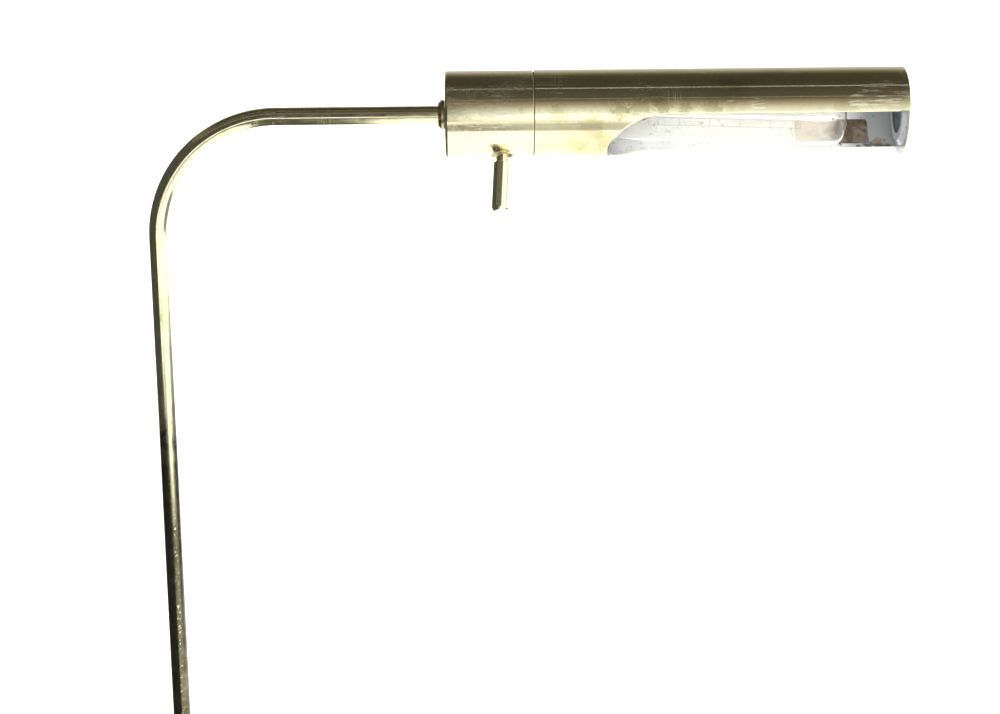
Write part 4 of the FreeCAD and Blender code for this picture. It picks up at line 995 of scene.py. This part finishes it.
# %% Cover, felt and bushing
BASE_R = span("base_cover", X)[1]
BASE_TOP = span("base_cover", Z)[1]
LIP = span("base_cover", Z)[0]
CROWN_R, SHEET, NIPPLE_HOLE = 30 * MM, 1 * MM, 5.05 * MM
crown = [(BASE_TOP - 5 * MM * (n / 10) ** 1.35 * 0.98, (30 + 62 * n / 10) * MM) for n in range(1, 10)]
cover_points = ([(BASE_TOP, NIPPLE_HOLE), (BASE_TOP, CROWN_R)] + crown
                + [(15 * MM, BASE_R, 3 * MM), (LIP, BASE_R, 0.4 * MM), (LIP, BASE_R - SHEET, 0.3 * MM),
                   (14 * MM, BASE_R - SHEET, 2 * MM), (BASE_TOP - SHEET, CROWN_R),
                   (BASE_TOP - SHEET, NIPPLE_HOLE)])
cover = lathe("spun_base_cover", rounded(cover_points, 8), AT_BASE, [base_metal], about="Z", segments=192)
INLET_Z = 7.5 * MM
ON_INLET = Matrix.Translation((-BASE_R, 0, INLET_Z)) @ Matrix.Rotation(math.radians(90), 4, "Y")
combine(cover, ("DIFFERENCE", rod_cutter("inlet_cutter", 4.1 * MM, -4 * MM, 4 * MM, ON_INLET)))
seat(cover, "base", "base_cover")
FELT_R = span("felt_pad", X)[1]
felt_points = [(0, 0), (0, FELT_R, 0.7 * MM), (2 * MM, FELT_R, 0.5 * MM), (2 * MM, 0)]
seat(lathe("felt_disc", rounded(felt_points), AT_BASE, [felt], about="Z", segments=128), "base", "felt_pad")
PLATE = span("cord_bushing", X)
CORD_R, GROOVE = 3.1 * MM, (-95 * MM, -93.6 * MM)
bushing_points = [(PLATE[0], CORD_R, 0.4 * MM), (PLATE[0], 5 * MM, 0.8 * MM), (GROOVE[0], 5 * MM),
                  (GROOVE[0], 4 * MM), (GROOVE[1], 4 * MM), (GROOVE[1], 4.5 * MM, 0.2 * MM),
                  (PLATE[1], 4.2 * MM, 0.3 * MM), (PLATE[1], CORD_R, 0.3 * MM)]
bushing = lathe("cord_grommet", rounded(bushing_points), Matrix.Translation((0, 0, INLET_Z)), [rubber],
                segments=64)
seat(bushing, "base", "cord_bushing")

# %% [markdown]
# ## Post and its foot
# The foot is turned: a flat rim, a hollow curved neck and a small bead where the post enters. The post is a
# plain brass tube with its ends softened.

# %% Foot and post
FOOT = span("post_foot", Z)
FOOT_R, FOOT_NECK, BEAD_R, POST_HOLE = 20 * MM, 11 * MM, 13 * MM, 8.03 * MM


def neck_point(angle):
    """A point of the foot's hollow curve, from the rim at 0 up to the bead at 90 degrees."""
    out = 13 + 7 * (1 - math.sin(angle) ** 0.7) * math.cos(angle) ** 0.6
    return FOOT[0] + (2.4 + 7.2 * math.sin(angle)) * MM, out * MM


sweep_in = [neck_point(math.radians(degrees)) for degrees in range(4, 84, 8)]
foot_points = ([(FOOT[0], 8.1 * MM), (FOOT[0], FOOT_R, 0.4 * MM), (FOOT[0] + 2 * MM, FOOT_R, 0.6 * MM)]
               + sweep_in
               + [(FOOT[1] - 6 * MM, BEAD_R, 0.4 * MM), (FOOT[1] - 6 * MM, FOOT_NECK, 0.3 * MM),
                  (FOOT[1], FOOT_NECK, 0.6 * MM), (FOOT[1], POST_HOLE)])
foot = lathe("turned_foot", rounded(foot_points), AT_BASE, [base_metal], about="Z", segments=128)
seat(foot, "base", "post_foot")
POST = span("post_tube", Z)
POST_R = span("post_tube", X)[1]
POST_BORE = 7 * MM
post_points = [(POST[0], POST_BORE), (POST[0], POST_R), (70 * MM, POST_R), (120 * MM, POST_R),
               (POST[1], POST_R, 0.2 * MM), (POST[1], POST_BORE, 0.2 * MM)]
seat(lathe("outer_post", rounded(post_points), AT_BASE, [base_metal], about="Z"), "base", "post_tube")

# %% [markdown]
# ## Collar with its screw boss
# The collar on top of the post is one turned piece with a short boss for the clamp screw. Two lathe forms
# are joined with a Boolean, and a second one opens the screw's way through both. The groove round the
# collar is a turner's decoration.

# %% The collar
COLLAR_Z = span("post_collar", Z)
BOSS_Z = 197 * MM
LOW, HIGH = COLLAR_Z
COLLAR_R, GROOVE_R, STEM_WAY = 11 * MM, 10.5 * MM, 5.25 * MM
collar_points = [(LOW, POST_HOLE), (LOW, COLLAR_R, 1.5 * MM), (LOW + 4 * MM, COLLAR_R, 0.4 * MM),
                 (LOW + 4.4 * MM, GROOVE_R, 0.2 * MM), (LOW + 5 * MM, GROOVE_R, 0.2 * MM),
                 (LOW + 5.4 * MM, COLLAR_R, 0.4 * MM), (HIGH, COLLAR_R, 1.5 * MM),
                 (HIGH, STEM_WAY, 0.5 * MM), (POST[1], STEM_WAY), (POST[1], POST_HOLE)]
collar = lathe("post_head_collar", rounded(collar_points, 6), AT_BASE, [base_metal], about="Z",
               segments=128)
ON_BOSS = Matrix.Translation((0, 0, BOSS_Z)) @ Matrix.Rotation(math.radians(-90), 4, "Y")
boss_points = in_mm([(7.5, 0), (7.5, 5), (15, 5, 0.6), (15, 2.5, 0.3), (14, 2.5), (14, 0)])
boss = lathe("boss", rounded(boss_points), ON_BOSS, [], about="Z", segments=64)
boss.modifiers.clear()
way = rod_cutter("screw_way", 2.5 * MM, 4 * MM, 16 * MM, ON_BOSS)
combine(collar, ("UNION", boss), ("DIFFERENCE", way))
seat(collar, "base", "post_collar")

# %% [markdown]
# ## Thumb screw
# The screw's head is knurled so that fingers can grip it. The knurl is one narrow ridge repeated round the
# rim, which is a job for Geometry Nodes: points on a circle, one ridge on each point, turned to face
# outwards.

# %% The knurl tree and the screw
knurl_tree, inp = new_tree("ridges round a rim", [
    ("Ridges", "Int", 44), ("Rim", "Float", 0.0078), ("Ridge Width", "Float", 0.0008),
    ("Ridge Length", "Float", 0.004), ("Start", "Float", 0.0)])
spots = add(knurl_tree, "GeometryNodeMeshCircle",
            {"Vertices": inp["Ridges"], "Radius": inp["Rim"]}).outputs[0]
lift = add(knurl_tree, "ShaderNodeCombineXYZ", {2: inp["Start"]}).outputs[0]
spots = add(knurl_tree, "GeometryNodeSetPosition", {"Geometry": spots, "Offset": lift}).outputs[0]
ridge = add(knurl_tree, "GeometryNodeMeshCylinder", {"Vertices": 6, "Side Segments": 1,
            "Radius": inp["Ridge Width"], "Depth": inp["Ridge Length"]}).outputs[0]
ridge = add(knurl_tree, "GeometryNodeTransform", {"Geometry": ridge, "Scale": (0.42, 0.5, 1)}).outputs[0]
place = add(knurl_tree, "GeometryNodeInputPosition").outputs[0]
outward = add(knurl_tree, "ShaderNodeVectorMath", {0: place, 1: (1, 1, 0)}, operation="MULTIPLY").outputs[0]
facing = add(knurl_tree, "FunctionNodeAlignRotationToVector", {"Vector": outward}, axis="X").outputs[0]
ridges = add(knurl_tree, "GeometryNodeInstanceOnPoints", {"Points": spots, "Instance": ridge,
                                                         "Rotation": facing}).outputs[0]
end_tree(knurl_tree, ridges, inp["Finish"])
HEAD_START = 17 * MM
screw_points = (in_mm([(7.45, 0), (7.45, 2.1, 0.2), (8.2, 2.42), (16.4, 2.42)])
                + [(HEAD_START + along * MM, *(value * MM for value in rest)) for along, *rest in (
                    (0, 3.4, 0.3), (0, 7.4, 0.4), (0.6, 7.7, 0.2), (4.4, 7.7, 0.2), (5, 7.2, 0.5),
                    (5, 4, 0.8), (4.6, 3, 0.5), (4.6, 0))])
screw_body = lathe("thumb_screw_turned", rounded(screw_points), ON_BOSS, [base_metal], about="Z",
                   segments=88)
seat(screw_body, "thumb_screw", "thumb_screw")
knurl = grow("thumb_screw_knurl", knurl_tree, path_mesh([(0, 0, 0), (0, 0, 0.001)]), base_metal, ON_BOSS,
             Ridges=44, Rim=7.68 * MM, Ridge_Width=0.62 * MM, Ridge_Length=3.6 * MM,
             Start=HEAD_START + 2.5 * MM)
seat(knurl, "thumb_screw", "thumb_screw")

# %% [markdown]
# ## Pieces that keep the frame's own shape
# Nuts, washers, the iron weight, the switch's case and the other inner pieces already have the right shape.
# They keep it, and only their finish is new.

# %% Finishes for the carried-over pieces
kept = [name for name, item in frame["nodes"].items() if not item.hide_render]
for name in kept:
    mesh = frame["nodes"][name].data
    # The joining sleeve takes the near-black seam brass: painted shade in the gap.
    finish = seam_shade_metal if name == "joining_sleeve" else FINISH_OF_SLOT[SLOT_OF_NODE[name]]
    for index in range(len(mesh.materials)):
        mesh.materials[index] = finish
print("kept as they are:", sorted(kept))

# %% [markdown]
# ## Floor, light and camera
# The lamp stands on a plain white floor that runs out past the frame's far edge. Polished metal shows
# what is around it, so the light matters more than the metal. The sky is a soft tent: bright near the
# ground in front and behind, dark overhead, with two thin bright gaps like the seams between softboxes. A
# soft high sun and a soft sun from the front fill the shade. Cards that only the polished pieces see draw
# their edges: dark ones on the left down the stem, and a greyer band on the floor in front, under the
# middle of the head.

# %% Floor


def floor_finish():
    material, tree, shader = new_finish("pale floor")
    place = surface_place(tree)
    faint = cloud(tree, place, 3.0, 4.0)
    put(tree, shader.inputs["Base Color"], tint(tree, faint, (0.93, 0.93, 0.925), (0.90, 0.90, 0.895)))
    put(tree, shader.inputs["Roughness"], levels(tree, faint, 0.3, 0.7, 0.85, 0.95))
    shader.inputs["Specular IOR Level"].default_value = 0.2
    return material


work = bmesh.new()
FLOOR_R, FLOOR_GAP = 40, 0.2 * MM
bmesh.ops.create_circle(work, cap_ends=True, radius=FLOOR_R, segments=96)
floor = new_piece("floor", work, Matrix.Translation((0, 0, -FLOOR_GAP)), [floor_finish()], recalc=False)

# %% The sky tent: degrees up from the front horizon, and how bright
SKY = [(0.0, 1.6), (4.0, 1.75), (9.0, 1.2), (18.0, 0.92), (30.0, 0.48), (41.0, 0.19), (45.0, 0.12),
       (45.6, 0.42), (46.4, 0.42), (47.0, 0.105), (58.0, 0.10), (70.0, 0.082), (75.9, 0.078), (76.4, 0.95),
       (77.2, 0.95), (77.7, 0.07), (100.0, 0.062), (122.0, 0.075), (132.0, 0.16), (142.0, 0.36),
       (156.0, 0.58), (180.0, 0.8)]
LEFT_SKY = [(0.0, 1.2), (12.0, 0.9), (30.0, 0.45), (55.0, 0.2), (90.0, 0.08)]
RIGHT_SKY = [(0.0, 1.7), (20.0, 1.7), (42.0, 1.6), (52.0, 0.5), (90.0, 0.08)]
SKY_TOP = 1.75


def sky_ramp(tree, angle, stops):
    ramp = add(tree, "ShaderNodeValToRGB", {0: levels(tree, angle, 0.0, 180.0)})
    for index, (degrees, level) in enumerate(stops):
        place = ramp.color_ramp.elements
        stop = place[index] if index < 2 else place.new(degrees / 180)
        stop.position = degrees / 180
        warm = 1.12 if level > 1 else 1 if level > 0.5 else 0.74
        stop.color = (level / SKY_TOP, level / SKY_TOP * (0.6 + warm * 0.4), level / SKY_TOP * warm, 1)
    return ramp.outputs[0]


def build_sky():
    world = bpy.data.worlds.new("soft tent")
    bpy.context.scene.world = world
    world.use_nodes = True
    tree = world.node_tree
    tree.nodes.clear()
    way = tree.nodes.new("ShaderNodeTexCoord").outputs["Generated"]
    parts = add(tree, "ShaderNodeSeparateXYZ", {0: way}).outputs
    front = product(tree, parts[1], -1.0)
    turn = calc(tree, "DEGREES", calc(tree, "ARCTAN2", parts[2], front))
    rise = calc(tree, "DEGREES", calc(tree, "ARCSINE", parts[2]))
    colour = tint(tree, levels(tree, parts[0], -0.55, -0.9), sky_ramp(tree, turn, SKY),
                  sky_ramp(tree, rise, LEFT_SKY))
    colour = tint(tree, levels(tree, parts[0], 0.21, 0.40), colour, sky_ramp(tree, rise, RIGHT_SKY))
    back = add(tree, "ShaderNodeBackground", {"Color": colour, "Strength": SKY_TOP})
    tree.links.new(back.outputs[0], tree.nodes.new("ShaderNodeOutputWorld").inputs[0])


build_sky()

# %% Suns and cards


def add_sun(name, power, spread, way):
    """A soft sun that fills, and isn't seen in the metal."""
    lamp = bpy.data.lights.new(name, "SUN")
    lamp.energy, lamp.angle = power, math.radians(spread)
    item = bpy.data.objects.new(name, lamp)
    item.rotation_mode = "QUATERNION"
    item.rotation_quaternion = Vector(way).to_track_quat("-Z", "Y")
    item.visible_glossy = False
    bpy.context.scene.collection.objects.link(item)


add_sun("high fill", 3.7, 50, (0.05, 0.35, -1))
add_sun("front fill", 4.7, 60, (0.08, 1, -0.22))


def add_card(name, corners, shade_level):
    """A plain card that only reflections see."""
    material, tree, shader = new_finish(name)
    soft = cloud(tree, surface_place(tree), 5.0)
    put(tree, shader.inputs["Base Color"], tint(tree, soft, (shade_level,) * 3, (shade_level * 0.7,) * 3))
    shader.inputs["Roughness"].default_value = 0.9
    work = bmesh.new()
    work.faces.new([work.verts.new(c) for c in corners])
    card = new_piece(name, work, AT_BASE, [material], recalc=False)
    for ray in ("camera", "diffuse", "shadow", "transmission", "volume_scatter"):
        setattr(card, "visible_" + ray, False)


def add_upright_card(name, start, end, low, high, shade_level):
    """A card standing on its edge, from one floor point to another."""
    add_card(name, [(*start, low), (*end, low), (*end, high), (*start, high)], shade_level)


def add_floor_card(name, start, end, height, shade_level):
    """A card lying just over the floor, between two opposite corners."""
    add_card(name, [(start[0], start[1], height), (end[0], start[1], height), (end[0], end[1], height),
                    (start[0], end[1], height)], shade_level)


add_upright_card("left card", (-1.1, -1.6), (-1.1, 1.9), 0.0, 1.5, 0.04)
add_upright_card("front card", (-1.6, -1.6), (0.17, -1.6), 0.3, 1.7, 0.06)
add_upright_card("front foot card", (-1.6, -1.6), (-0.5, -1.6), 0.0, 0.3, 0.06)
add_floor_card("low card", (-1.1, -1.6), (0.10, 0.9), 0.003, 0.06)
add_floor_card("right card", (0.72, -0.2), (1.9, 1.5), 0.003, 0.18)
add_floor_card("housing strip", (0.12, -1.9), (0.246, -0.79), 0.005, 0.2)
add_floor_card("shade strip", (0.246, -1.9), (0.47, -0.79), 0.005, 0.45)
add_floor_card("far strip", (0.12, -4.2), (0.52, -1.9), 0.004, 0.68)

# %% [markdown]
# ## Camera
# The camera stands a little over a metre in front, above the arm, and looks gently down, so the head fills
# the top right and the stem leaves the frame at the bottom.

# %% The camera
VIEW_FROM = Vector((0.1733, -1.1516, 0.756))
YAW, PITCH, TILT = 0.021, 0.2544, -0.0075
SENSOR, FOCUS_RATIO = 36, 2.0172
ahead = Vector((math.sin(YAW) * math.cos(PITCH), math.cos(YAW) * math.cos(PITCH), -math.sin(PITCH)))
right = Vector((math.cos(YAW), -math.sin(YAW), 0))
above = right.cross(ahead)
right_turned = right * math.cos(TILT) + above * math.sin(TILT)
above_turned = above * math.cos(TILT) - right * math.sin(TILT)
lens = bpy.data.cameras.new("camera")
lens.lens, lens.sensor_width = FOCUS_RATIO * SENSOR, SENSOR
lens.clip_start, lens.clip_end = 0.05, 100
camera = bpy.data.objects.new("camera", lens)
turned = Matrix((right_turned, above_turned, -ahead)).transposed()
camera.matrix_world = Matrix.Translation(VIEW_FROM) @ turned.to_4x4()
bpy.context.scene.collection.objects.link(camera)
bpy.context.scene.camera = camera
bpy.context.scene.view_settings.view_transform = "Standard"
